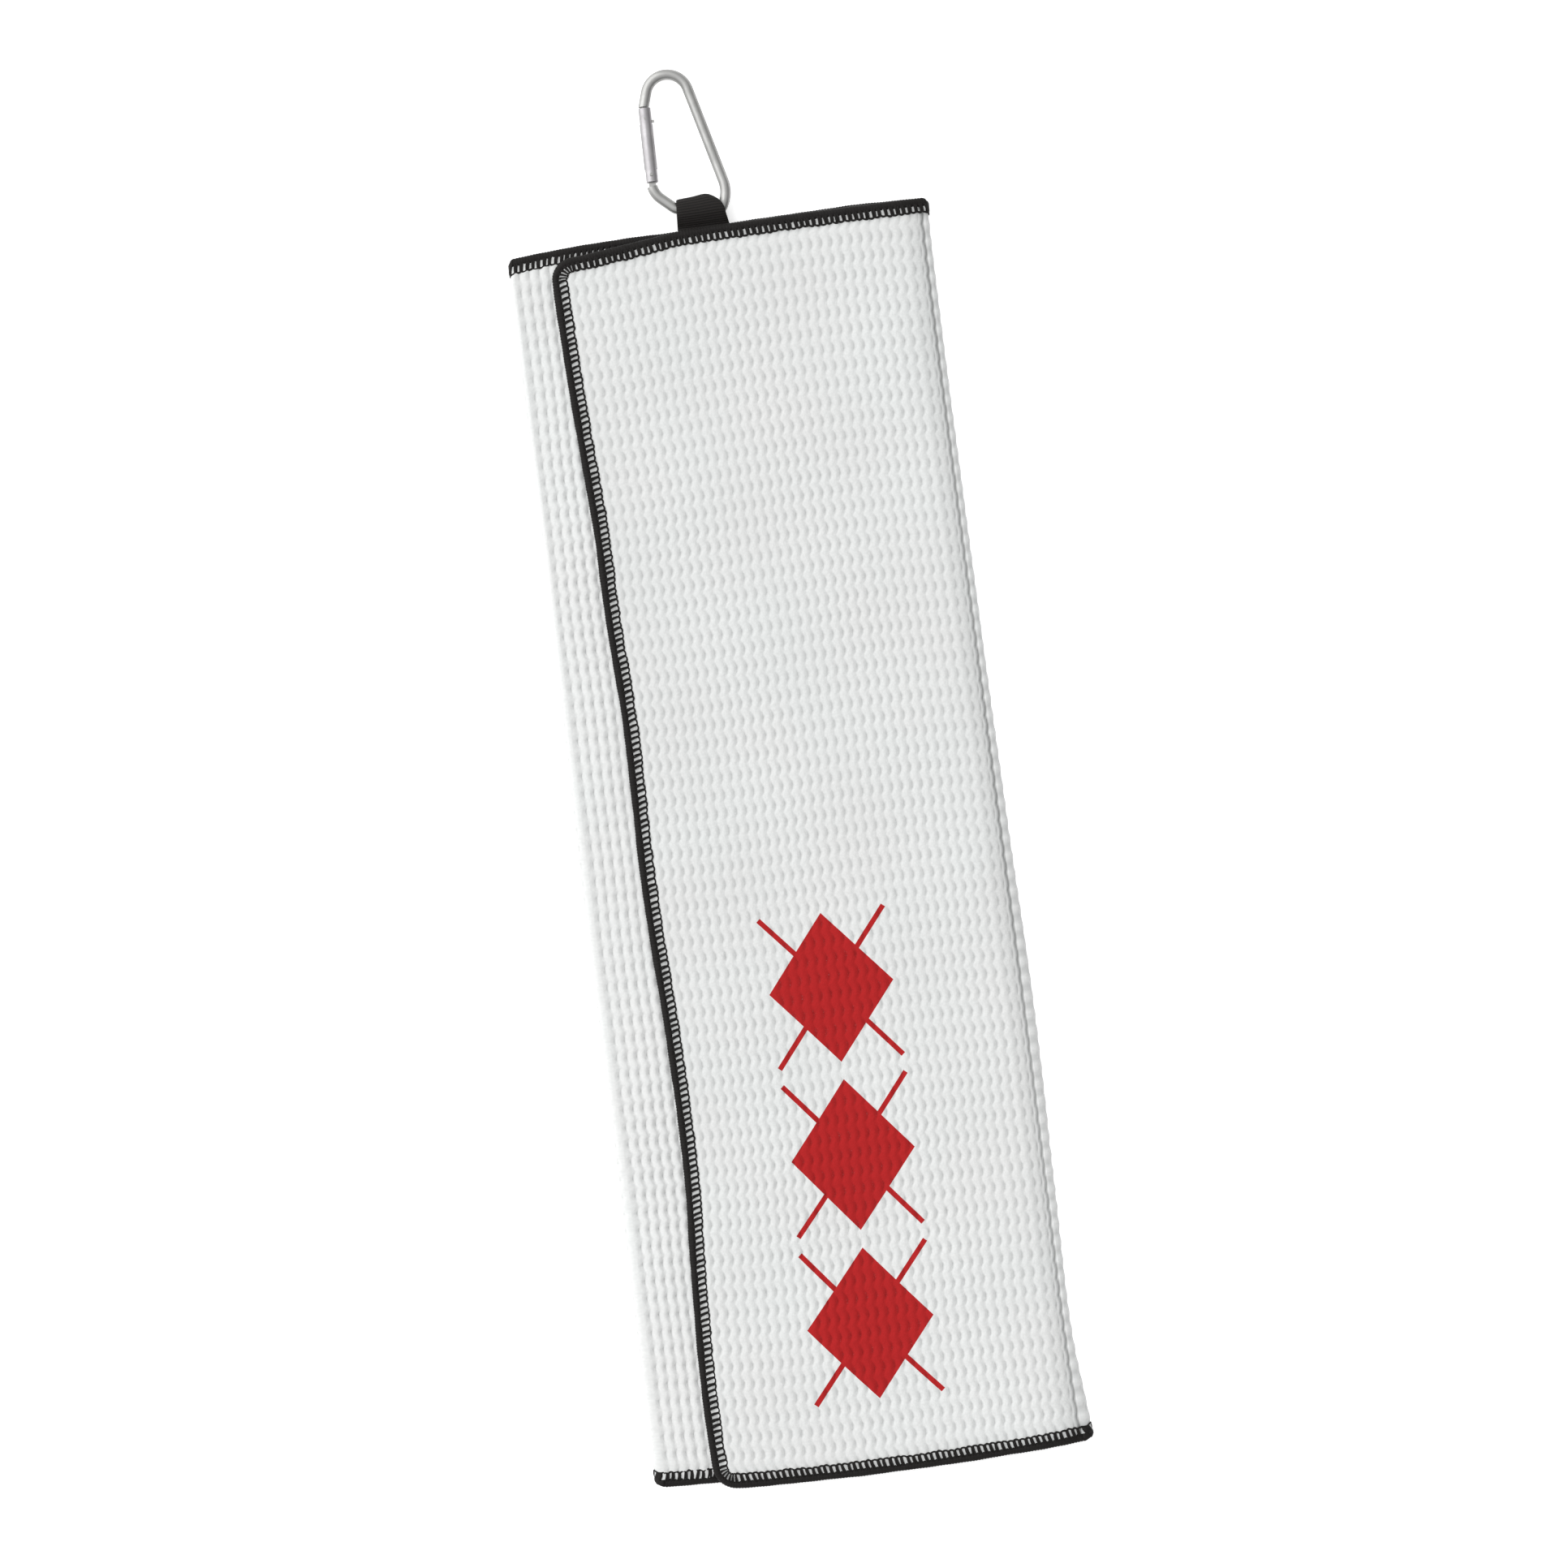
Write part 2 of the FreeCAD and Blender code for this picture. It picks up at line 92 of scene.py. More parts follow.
# The ribbed cloth. A rib's shape is its height, 0 to 1, at each of its phases.
RIB_PITCH = 3.46
WAVE_PITCH = 6.15
WAVE_DEPTH = 1.25
WAVE_SAMPLES = 4  # rows of points for each wave
RIB_HEIGHT = 0.62
CLOTH_CORE = 0.60  # half of the thickness between the ribs
RIB_PHASES = (0.0, 0.18, 0.50, 0.82)
RIB_SHAPE = (0.0, 0.50, 1.0, 0.95)
RIB_SHAPE_BELOW = (0.0, 0.95, 1.0, 0.50)
LOWER_GAIN = 0.18  # how much fuller the ribs are towards the towel's bottom
STRIP_GAIN = 0.85  # how much fuller they are on the middle panel's visible strip
STRIP_HALF_WIDTH = 22.0
CORNER_RADIUS = 7.5
EDGE_INSET = 1.3  # from the overlock's outer edge to the cloth's

# The crease before the right fold.
STRAIGHTEN_REACH = 3.8  # the ribs' waves die out over this much cloth before it
CREASE_DEPTH = 1.10
CREASE_WIDTH = 0.62
CREASE_BACK = 0.85
CREASE_WAVE = 0.60
CREASE_COLUMNS = (1.7, 1.2, 0.75, 0.35)

# The folds. Each fold line moves by a share of its edge's shift, and the fold's bulge makes up the rest.
SHIFT_AT_FOLD = 0.3
BULGE_LIMITS = (-0.65, 2.1)
FOLD_END_ROUND = 1.3
FOLD_END_REACH = 12.0
FOLD_COLUMNS = 13
LIE_HEIGHT = 0.14  # of the whole stack's rise and fall

# The overlocked edge, with distances inward from its outer edge. Stitches are packed at a panel's ends.
STITCH_PITCH = 2.05
STITCH_LEAN = -0.85
LEAN_SPREAD = 0.22
PLACE_SPREAD = 0.16
BAND_CENTRE = 1.36
BAND_HALF_WIDTH = 1.43
BAND_HALF_HEIGHT = 1.22
PACKED_BAND = 0.34  # the share by which the band is wider where the stitches are packed
PACKED_REACH = 6.0
PACKED_AT_BOTTOM = 0.6
NEEDLE_LINE = 4.90
NEEDLE_SPREAD = 0.28
LOOP_DEPTH = 0.24
RUNG_START = BAND_CENTRE + 0.6
RUNG_SPREAD = (0.26, 0.44)
RUNG_RADIUS = (0.26, 0.34)
PACKED_RUNG = 0.11
THREAD_HALF_HEIGHT = 0.34
BAND_SIDES = 10
THREAD_SIDES = 6
TRACK_STEP = 0.5
CORNER_STEPS = 24

# The webbing and its seam.
WEBBING_HALF = 0.45  # half of its thickness
WEBBING_RIB_PITCH = 0.9
WEBBING_RIB_HALF = 0.10
WARP_PITCH = 0.62
LINE_STEP = 0.2
SEAM_MARGIN = 0.3
SEAM_STITCH = 2.3

WHITE_CLOTH = (0.726, 0.741, 0.735, 1.0)
BLACK_THREAD = (0.0085, 0.0075, 0.0070, 1.0)
RED_INK = (0.42, 0.012, 0.013, 1.0)
INK_WORN_THIN = (0.62, 0.45, 0.44, 1.0)
WIRE_METAL = (0.43, 0.43, 0.42, 1.0)
GATE_METAL = (0.43, 0.42, 0.43, 1.0)
RIVET_METAL = (0.40, 0.40, 0.39, 1.0)
BRASS = (0.55, 0.42, 0.22, 1.0)
SPRING_METAL = (0.45, 0.45, 0.46, 1.0)
# a dark edge tint for the metals: painted shade along their grazing edges
METAL_PAINTED_EDGE_SHADE = (0.30, 0.30, 0.30, 1.0)


# --- small helpers -------------------------------------------------------------------------------------

def smooth(t):
    """Smoothstep of t, clipped to 0..1."""
    t = np.clip(t, 0.0, 1.0)
    return t * t * (3 - 2 * t)


def through(points, t):
    """A smooth curve through a few (place, value) points, read at t."""
    xs = np.array([p[0] for p in points], float)
    ys = np.array([p[1] for p in points], float)
    slopes = np.gradient(ys, xs)
    t = np.clip(t, xs[0], xs[-1])
    k = np.clip(np.searchsorted(xs, t, side="right") - 1, 0, len(xs) - 2)
    step = xs[k + 1] - xs[k]
    f = (t - xs[k]) / step
    keep = (1 + 2 * f) * (1 - f) ** 2 * ys[k] + f * f * (3 - 2 * f) * ys[k + 1]
    return keep + (f * (1 - f) ** 2 * slopes[k] + f * f * (f - 1) * slopes[k + 1]) * step


def lengths_along(points):
    """The distance along a line of points to each of them."""
    return np.concatenate([[0], np.cumsum(np.hypot(*np.diff(points, axis=0).T))])


def shade(colour, share, added=0.0):
    """A darker or lighter colour."""
    return tuple(c * share + added for c in colour[:3]) + (1.0,)


def make_object(name, points_mm, faces, material, flat_uv=None, rib=None, sharp=None, indices=None):
    """A smooth-shaded mesh object from points in millimetres."""
    mesh = bpy.data.meshes.new(name)
    mesh.from_pydata((np.asarray(points_mm) * MM).tolist(), [], faces)
    mesh.update()
    mesh.polygons.foreach_set("use_smooth", np.ones(len(mesh.polygons), bool))
    if flat_uv is not None:
        stored = mesh.attributes.new("cloth_uv", "FLOAT_VECTOR", "POINT")
        stored.data.foreach_set("vector", (np.asarray(flat_uv) * MM).astype(np.float32).ravel())
    if rib is not None:
        stored = mesh.attributes.new("rib", "FLOAT", "POINT")
        stored.data.foreach_set("value", np.asarray(rib, np.float32))
    if sharp is not None:
        ends = np.zeros(len(mesh.edges) * 2, np.int32)
        mesh.edges.foreach_get("vertices", ends)
        ends = ends.reshape(-1, 2)
        both = sharp[ends[:, 0]] & sharp[ends[:, 1]]
        stored = mesh.attributes.new("sharp_edge", "BOOLEAN", "EDGE")
        stored.data.foreach_set("value", both)
    for one in material if isinstance(material, (list, tuple)) else [material]:
        mesh.materials.append(one)
    if indices is not None:
        mesh.polygons.foreach_set("material_index", np.asarray(indices, np.int32))
    made = bpy.data.objects.new(name, mesh)
    bpy.context.scene.collection.objects.link(made)
    return made


def grid_faces(rows, columns, first=0, flip=False, wrap=False):
    """Quads of a rows x columns grid of points, as an array. wrap joins the last column to the first."""
    across = columns if wrap else columns - 1
    i, j = np.meshgrid(np.arange(rows - 1), np.arange(across), indexing="ij")
    a = first + i * columns + j
    b = first + i * columns + (j + 1) % columns
    quads = np.stack([a, b, b + columns, a + columns], -1).reshape(-1, 4)
    return quads[:, ::-1] if flip else quads


def tube_faces(rows, columns):
    """Faces round a tube of points, ring by ring, with one face over each end."""
    faces = grid_faces(rows, columns, wrap=True).tolist()
    faces.append(list(range(columns))[::-1])
    faces.append(list(range((rows - 1) * columns, rows * columns)))
    return faces


def ring_grid(rings, sides):
    """How far along a thread, 0 to 1, and at what turn round it each point of its surface is."""
    return np.meshgrid(np.linspace(0, 1, rings), np.arange(sides) * math.tau / sides, indexing="ij")


def joined(parts):
    """Several meshes, each its points and faces, as one."""
    points, faces, first = [], [], 0
    for part_points, part_faces in parts:
        points.append(part_points)
        faces += [[i + first for i in face] for face in part_faces]
        first += len(part_points)
    return np.concatenate(points), faces


# --- the folded cloth ----------------------------------------------------------------------------------

# How far each edge of the pressed towel lies from a true rectangle's: (place along it, distance) pairs.
LEFT_EDGE_SHIFT = ((-218, -1.8), (-190, -1.7), (-110, -1.05), (0, -0.8), (60, 0.1), (120, 0.8), (180, 0.9),
                   (218, 1.7))
RIGHT_EDGE_SHIFT = ((-218, 2.4), (-204, 1.3), (-186, -0.2), (-130, -0.1), (-70, 0.7), (0, -0.2), (50, -0.8),
                    (110, -1.6), (170, -1.9), (204, -1.3), (218, -0.4))
FREE_EDGE_SHIFT = ((-218, -0.2), (-185, -0.9), (-150, 0.3), (-105, 2.7), (-65, 2.5), (-10, 0.7), (55, 1.2),
                   (85, 0.0), (120, -0.3), (150, -1.7), (190, -3.2), (218, -3.7))
FRONT_TOP_SHIFT = ((-56, -6.2), (-50, -6.0), (-33, -4.3), (-14, -1.9), (20, -0.9), (72, -0.6))
FRONT_BOTTOM_SHIFT = ((-56, 0.3), (-48, -0.2), (-8, -1.3), (33, -1.0), (55, -0.2), (72, 0.7))
REAR_TOP_SHIFT = ((-74, -3.7), (-51, -2.0), (-14, -1.3), (26, -0.2), (56, 0.0), (72, -0.5))
REAR_BOTTOM_SHIFT = ((-76, 3.3), (-57, 2.3), (0, 1.4), (72, 0.8))
SHIFT_REACH = 170.0  # how far down or up the towel the end edges' shifts are felt
FREE_SHARE_POWER = 1.4


def fold_line(u):
    """Where the cloth's middle line is, before the panels' edges are drawn out of true: x and z."""
    u = np.asarray(u, float)
    front_x = FRONT_EDGE_X + u
    front_z = FRONT_Z - FOLD_RADIUS * smooth((front_x - FRONT_SAG_START) / (RIGHT_FOLD_X - FRONT_SAG_START))
    turn = np.clip((u - FRONT_END) / FOLD_RADIUS, 0, math.pi)
    right_x = RIGHT_FOLD_X + FOLD_RADIUS * np.sin(turn)
    right_z = MIDDLE_Z + FOLD_RADIUS * np.cos(turn)
    middle_x = RIGHT_FOLD_X - (u - MIDDLE_START)
    sag = smooth((middle_x - MIDDLE_SAG_START) / (RIGHT_FOLD_X - MIDDLE_SAG_START))
    middle_z = MIDDLE_Z - FOLD_RADIUS * sag
    turn = np.clip((u - MIDDLE_END) / FOLD_RADIUS, 0, math.pi)
    left_x = LEFT_FOLD_X - FOLD_RADIUS * np.sin(turn)
    left_z = (MIDDLE_Z + BACK_Z) / 2 + FOLD_RADIUS * np.cos(turn)
    back_x = LEFT_FOLD_X + (u - BACK_START)
    back_z = np.full_like(u, BACK_Z)
    parts = [u < FRONT_END, u < MIDDLE_START, u < MIDDLE_END, u < BACK_START]
    x = np.select(parts, [front_x, right_x, middle_x, left_x], back_x)
    z = np.select(parts, [front_z, right_z, middle_z, left_z], back_z)
    return x, z


def fold_bulge(u, y):
    """How far a fold stands out past a true half round, along x, and how its ends round off, along y."""
    right_turn = np.clip((u - FRONT_END) / FOLD_RADIUS, 0, math.pi)
    left_turn = np.clip((u - MIDDLE_END) / FOLD_RADIUS, 0, math.pi)
    right = np.clip((1 - SHIFT_AT_FOLD) * through(RIGHT_EDGE_SHIFT, y), *BULGE_LIMITS)
    left = np.clip((SHIFT_AT_FOLD - 1) * through(LEFT_EDGE_SHIFT, y), *BULGE_LIMITS)
    rounded = FOLD_END_ROUND * (np.sin(right_turn) ** 2 + np.sin(left_turn) ** 2)
    near_end = smooth((np.abs(y) - HALF_LENGTH + FOLD_END_REACH) / FOLD_END_REACH)
    return right * np.sin(right_turn) - left * np.sin(left_turn), -np.sign(y) * rounded * near_end


def drawn_out(u, x, y):
    """How far a point of the folded cloth lies from its place in the true rectangle, as dx and dy."""
    front = u < FRONT_END
    share = smooth((u - FRONT_END) / FOLD_LENGTH)
    right = SHIFT_AT_FOLD * through(RIGHT_EDGE_SHIFT, y)
    across = np.clip((x - FRONT_EDGE_X) / (RIGHT_FOLD_X - FRONT_EDGE_X), 0, 1)
    free = (1 - across) ** FREE_SHARE_POWER
    front_dx = free * through(FREE_EDGE_SHIFT, y) + (1 - free) * right
    across = np.clip((x - LEFT_FOLD_X) / (RIGHT_FOLD_X - LEFT_FOLD_X), 0, 1)
    rear_dx = (1 - across) * SHIFT_AT_FOLD * through(LEFT_EDGE_SHIFT, y) + across * right
    dx = np.where(front, front_dx, rear_dx)
    top = smooth((y - HALF_LENGTH + SHIFT_REACH) / SHIFT_REACH)
    bottom = smooth((-y - HALF_LENGTH + SHIFT_REACH) / SHIFT_REACH)
    front_dy = top * through(FRONT_TOP_SHIFT, x) + bottom * through(FRONT_BOTTOM_SHIFT, x)
    rear_dy = top * through(REAR_TOP_SHIFT, x) + bottom * through(REAR_BOTTOM_SHIFT, x)
    bulge_dx, bulge_dy = fold_bulge(u, y)
    return dx + bulge_dx, (1 - share) * front_dy + share * rear_dy + bulge_dy


def lie(x, y):
    """How the stack lies: a slight shared rise and fall, none at the folds."""
    wave = (np.sin((0.6 * x + y) / 15.5 + 1.0) + 0.8 * np.sin((y - 0.45 * x) / 9.7)
            + 0.7 * np.sin((x + 0.2 * y) / 11.3))
    inside = smooth((x - LEFT_FOLD_X) / 14) * smooth((RIGHT_FOLD_X - x) / 14)
    return LIE_HEIGHT * (wave + 2.5) * inside


def under_webbing(u, x, y):
    """1 where the middle panel's cloth is held between the webbing's two ends, else 0."""
    margin = 1.4
    across = smooth((x - TAIL_LOW[0] + margin) / margin) * smooth((TAIL_HIGH[0] + margin - x) / margin)
    along = smooth((y - TAIL_LOW[1] + margin) / margin)
    middle = (u > MIDDLE_START) & (u < MIDDLE_END)
    return np.where(middle, across * along, 0.0)


def squeezed(u, x, y, h):
    """The height h after the cloth is pressed: inside both folds and under the webbing."""
    right = smooth((u - FRONT_END + 14) / 12) * smooth((MIDDLE_START + 12 - u) / 10)
    left = smooth((u - MIDDLE_END + 5) / 5) * smooth((BACK_START + 5 - u) / 5)
    inner = np.where(h < 0, 1 - 0.5 * right, 1 - 0.4 * left)
    outer = np.where(h < 0, 1 - 0.12 * left, 1 - 0.12 * right)
    return h * np.minimum(inner, outer) * (1 - 0.74 * under_webbing(u, x, y))


def place(u, v, h):
    """Points of the folded towel, in millimetres, from flat cloth coordinates."""
    u, v, h = (np.asarray(a, float) for a in np.broadcast_arrays(u, v, h))
    x, z = fold_line(u)
    step = 0.05
    xa, za = fold_line(u - step)
    xb, zb = fold_line(u + step)
    long = np.hypot(xb - xa, zb - za)
    out_x, out_z = -(zb - za) / long, (xb - xa) / long
    h = squeezed(u, x, v, h)
    dx, dy = drawn_out(u, x, v)
    rise = lie(x, v)
    return np.stack([x + dx + out_x * h, v + dy, z + rise + out_z * h], -1)


def meander(u, v):
    """The slow wander of the ribs, in millimetres."""
    return 0.22 * np.sin(v / 23.0 + u / 17.0) + 0.16 * np.sin(v / 9.1 - u / 29.0 + 1.3)


def scallop(u, v):
    """0..1 along each rib: 1 at the middle of a scallop and 0 at the cusps between."""
    return np.abs(np.sin(np.pi * (v + 0.8 * np.sin(u / 19.0)) / WAVE_PITCH))


def rib_shift(u, v):
    """How far the ribs stand to +u at this height along them: they run straighter into the right fold."""
    before_fold = FRONT_END - CREASE_COLUMNS[0] - u
    straighten = np.where(u < FRONT_END, np.clip(before_fold / STRAIGHTEN_REACH, 0.0, 1.0), 1.0)
    return (WAVE_DEPTH * scallop(u, v) ** 0.8 + meander(u, v)) * straighten


def unshifted(u, v):
    """The u of the straight column that the ribs' waves have carried to u."""
    base = u
    for _ in range(6):
        base = u - rib_shift(base, v)
    return base


def rib_size(u, v):
    """The ribs' own share of full height: less where the cloth is pressed flat."""
    ends = 0.35 + 0.65 * smooth((HALF_LENGTH - 3.0 - np.abs(v)) / 5.5)
    free = 0.35 + 0.65 * smooth((np.minimum(u, BACK_END - u) - 3.0) / 4.0)
    lower = 1 + LOWER_GAIN * smooth((-v - 20) / 130)
    return lower * np.minimum(ends, free) * (0.92 + 0.08 * np.sin(u / 7.3 + v / 31.0))


def rib_height(u, v, shape):
    """Height of the cloth's surface above its middle, for one face's shape across a rib."""
    phase = unshifted(u, v) / RIB_PITCH % 1.0
    across = np.interp(phase, (*RIB_PHASES, 1.0), (*shape, shape[0]))
    filled = across + (1 - across) * 0.90 * (1 - scallop(u, v) ** 2)
    height = RIB_HEIGHT * filled * rib_size(u, v)
    if shape is RIB_SHAPE_BELOW:
        strip = smooth(1 - np.abs(u - MIDDLE_END + 12) / STRIP_HALF_WIDTH)
        return CLOTH_CORE + height * (1 + STRIP_GAIN * strip)
    crease = FRONT_END - CREASE_BACK + CREASE_WAVE * (scallop(u, v) - 0.6)
    return CLOTH_CORE + height - CREASE_DEPTH * np.exp(-(((u - crease) / CREASE_WIDTH) ** 2))


def rows_along():
    """The v of each row of points: a few in each scallop."""
    count = round(2 * HALF_LENGTH / WAVE_PITCH * WAVE_SAMPLES)
    return np.linspace(EDGE_INSET - HALF_LENGTH, HALF_LENGTH - EDGE_INSET, count + 1)


def rib_columns(start, end, straight):
    """The u of each column of points before the ribs' waves: four on each rib, and the panel's two ends."""
    first, last = int(start / RIB_PITCH) - 1, int(end / RIB_PITCH) + 1
    stop = end - (max(straight) + 0.5 if straight else 1.7)
    inner = [(k + q) * RIB_PITCH for k in range(first, last + 1) for q in RIB_PHASES]
    inner = [u for u in inner if start + 0.7 < u < stop]
    return np.array([start, *inner, *(end - back for back in straight), end])


def flat_panel(start, end, straight=()):
    """A panel's two faces in flat cloth coordinates: arrays u, v, top h and bottom h.

    straight gives how far before the end some columns stand that don't wave with the ribs."""
    v, base = np.meshgrid(rows_along(), rib_columns(start, end, straight), indexing="ij")
    inside = np.ones_like(base)
    inside[:, 0] = 0
    inside[:, -1 - len(straight):] = 0
    u = base + inside * rib_shift(base, v)
    return u, v, rib_height(u, v, RIB_SHAPE), rib_height(u, v, RIB_SHAPE_BELOW)


def flat_fold(start, end):
    """A fold's two faces in flat cloth coordinates, with the columns evenly apart."""
    v, u = np.meshgrid(rows_along(), np.linspace(start, end, FOLD_COLUMNS), indexing="ij")
    return u, v, rib_height(u, v, RIB_SHAPE), rib_height(u, v, RIB_SHAPE_BELOW)


def round_corners(u, v, edge, inward):
    """u with the sheet's two corners at the free edge rounded. inward is +1 or -1 along u."""
    radius = CORNER_RADIUS - EDGE_INSET
    into = np.maximum(np.abs(v) - (HALF_LENGTH - CORNER_RADIUS), 0)
    cut = radius - np.sqrt(np.maximum(radius**2 - into**2, 0))
    reach = 2 * CORNER_RADIUS
    away = (u - edge) * inward
    return np.where(away < reach, edge + inward * (cut + away * (reach - cut) / reach), u)


def closed_shell(u, v, top, bottom):
    """Flat points, quads and a mask of border points for a sheet with both faces and a rim."""
    rows, columns = u.shape
    count = rows * columns
    points = np.concatenate([
        np.stack([u, v, top], -1).reshape(-1, 3),
        np.stack([u, v, -bottom], -1).reshape(-1, 3)])
    index = np.arange(count).reshape(rows, columns)
    ring = np.concatenate([index[0, :-1], index[:-1, -1], index[-1, :0:-1], index[:0:-1, 0]])
    after = np.roll(ring, -1)
    rim = np.stack([after, ring, ring + count, after + count], -1)
    faces = np.concatenate([grid_faces(rows, columns), grid_faces(rows, columns, count, flip=True), rim])
    border = np.zeros(2 * count, bool)
    border[ring] = border[ring + count] = True
    return points, faces, border


# --- materials -----------------------------------------------------------------------------------------

class Nodes:
    """A short way to write one material's node tree."""

    def __init__(self, name):
        self.material = bpy.data.materials.new(name)
        self.material.use_nodes = True
        self.tree = self.material.node_tree
        self.shader = self.tree.nodes["Principled BSDF"]

    def add(self, kind, inputs=(), **settings):
        node = self.tree.nodes.new(kind)
        for key, value in settings.items():
            setattr(node, key, value)
        for key, value in dict(inputs).items():
            self.feed(value, node.inputs[key])
        return node

    def feed(self, value, socket):
        if isinstance(value, bpy.types.NodeSocket):
            self.tree.links.new(value, socket)
        else:
            socket.default_value = value

    def read(self, attribute, output="Vector"):
        return self.add("ShaderNodeAttribute", attribute_name=attribute).outputs[output]

    def position(self):
        return self.add("ShaderNodeTexCoord").outputs["Object"]

    def noise(self, where, scale, detail=2.0, roughness=0.5):
        made = self.add("ShaderNodeTexNoise", {"Vector": where, "Scale": scale, "Detail": detail,
                                               "Roughness": roughness})
        return made.outputs["Fac"]

    def cells(self, where, scale):
        made = self.add("ShaderNodeTexVoronoi", {"Vector": where, "Scale": scale}, feature="SMOOTH_F1")
        return made.outputs["Distance"]

    def sums(self, operation, a, b=0.0, c=0.0):
        made = self.add("ShaderNodeMath", operation=operation)
        for value, socket in zip((a, b, c), made.inputs):
            self.feed(value, socket)
        return made.outputs[0]

    def ramp(self, value, low, high, to_low=0.0, to_high=1.0):
        made = self.add("ShaderNodeMapRange", {"Value": value, "From Min": low, "From Max": high,
                                               "To Min": to_low, "To Max": to_high})
        return made.outputs["Result"]

    def mix(self, share, a, b):
        return self.add("ShaderNodeMixRGB", {"Fac": share, "Color1": a, "Color2": b}).outputs["Color"]

    def bump(self, height, strength, distance_mm):
        made = self.add("ShaderNodeBump", {"Height": height, "Strength": strength,
                                           "Distance": distance_mm * MM})
        return made.outputs["Normal"]

    def surface(self, **sockets):
        for key, value in sockets.items():
            self.feed(value, self.shader.inputs[key.replace("_", " ")])
        return self.material


def cloth_material(name, colour, ink=False):
    """Brushed microfibre knit: soft loops on the ribs, painted shade in the grooves, between the loops and
    deepest in the crease, faint uneven tone.
    """
    n = Nodes(name)
    where = n.read("cloth_uv")
    rib = n.read("rib", "Fac")
    loops = n.cells(where, 1350.0)
    fuzz = n.noise(where, 2600.0, 3.0, 0.6)
    blotch = n.noise(where, 21.0, 3.0, 0.55)
    groove = n.ramp(rib, 0.05, 0.75, 1.0, 0.0)
    # painted shade colours: a darker grey for the grooves and the gaps between loops, a much darker one for
    # the crease before the right fold
    painted_shade, painted_crease_shade = shade(colour, 0.68), shade(colour, 0.32)
    tinted = tuple(c * k for c, k in zip(colour[:3], (1.0, 0.985, 0.985))) + (1.0,)
    toned = n.mix(n.ramp(blotch, 0.35, 0.65, 0.0, 1.0), colour, tinted)
    # painted shade laid in the grooves, then between the loops, then in the crease before the right fold
    toned = n.mix(n.sums("MULTIPLY", groove, 0.75), toned, painted_shade)
    toned = n.mix(n.ramp(loops, 0.15, 0.75, 0.0, 0.22), toned, painted_shade)
    toned = n.mix(n.ramp(rib, -0.1, -0.9, 0.0, 0.85), toned, painted_crease_shade)
    if ink:
        bare = n.sums("MULTIPLY", n.ramp(fuzz, 0.60, 0.72, 0.0, 0.35), groove)
        toned = n.mix(bare, toned, INK_WORN_THIN)
    relief = n.sums("ADD", n.sums("MULTIPLY", loops, -0.8), n.sums("MULTIPLY", fuzz, 0.6))
    return n.surface(Base_Color=toned, Roughness=n.ramp(fuzz, 0.3, 0.7, 0.86, 0.97), Sheen_Weight=0.08,
                     Sheen_Roughness=0.5, Specular_IOR_Level=0.25, Normal=n.bump(relief, 0.35, 0.22))


def thread_material(name, colour):
    """Spun polyester thread: fine fibres and a dull sheen, a little greyer where it is rubbed."""
    n = Nodes(name)
    where = n.position()
    fibres = n.noise(where, 5200.0, 2.0, 0.6)
    strands = n.noise(where, 900.0, 2.0, 0.5)
    toned = n.mix(n.ramp(fibres, 0.45, 0.75, 0.0, 0.75), colour, shade(colour, 1.9, 0.002))
    relief = n.sums("ADD", fibres, n.sums("MULTIPLY", strands, 0.5))
    return n.surface(Base_Color=toned, Roughness=n.ramp(strands, 0.3, 0.7, 0.52, 0.72), Sheen_Weight=0.04,
                     Sheen_Roughness=0.45, Specular_IOR_Level=0.17, Normal=n.bump(relief, 0.5, 0.12))


def webbing_material(name, colour):
    """Ribbed polyester webbing: cross ribs in the mesh with a painted highlight on their crests, warp ends
    in the bump.
    """
    n = Nodes(name)
    where = n.read("cloth_uv")
    split = n.add("ShaderNodeSeparateXYZ", {"Vector": where})
    across = n.sums("MULTIPLY", split.outputs["X"], 2 * math.pi / (WARP_PITCH * MM))
    warp = n.sums("SINE", across)
    fibres = n.noise(where, 4200.0, 2.0, 0.6)
    ribs = n.sums("COSINE", n.sums("MULTIPLY", split.outputs["Y"], 2 * math.pi / (WEBBING_RIB_PITCH * MM)))
    # painted highlight: a lighter, warmer colour on the crests of the cross ribs
    painted_crest_highlight = tuple(c * 2.4 + warm for c, warm in zip(colour[:3], (0.006, 0.004, 0.003))) + (1.0,)
    lit = n.sums("MULTIPLY", n.ramp(ribs, 0.0, 1.0, 0.0, 0.75), n.ramp(fibres, 0.3, 0.6, 0.5, 1.0))
    toned = n.mix(lit, colour, painted_crest_highlight)
    relief = n.sums("ADD", n.sums("MULTIPLY", warp, 0.4), fibres)
    return n.surface(Base_Color=toned, Roughness=n.ramp(fibres, 0.3, 0.7, 0.55, 0.75), Sheen_Weight=0.05,
                     Sheen_Roughness=0.4, Specular_IOR_Level=0.2, Normal=n.bump(relief, 0.5, 0.12))


def metal_material(name, colour, roughness):
    """Satin metal with a fine drawn grain, light handling marks, slightly uneven gloss and a dark edge tint
    that paints shade along its grazing edges.
    """
    n = Nodes(name)
    where = n.position()
    grain = n.noise(where, 2400.0, 2.0, 0.6)
    smudge = n.noise(where, 160.0, 3.0, 0.6)
    toned = n.mix(n.ramp(smudge, 0.35, 0.7, 0.0, 1.0), colour, shade(colour, 0.86))
    grained = n.ramp(grain, 0.3, 0.7, roughness - 0.03, roughness + 0.04)
    rough = n.sums("ADD", n.ramp(smudge, 0.3, 0.7, -0.05, 0.07), grained)
    # the specular tint is the painted edge shade
    return n.surface(Base_Color=toned, Metallic=1.0, Roughness=rough, Specular_Tint=METAL_PAINTED_EDGE_SHADE,
                     Normal=n.bump(grain, 0.15, 0.03))


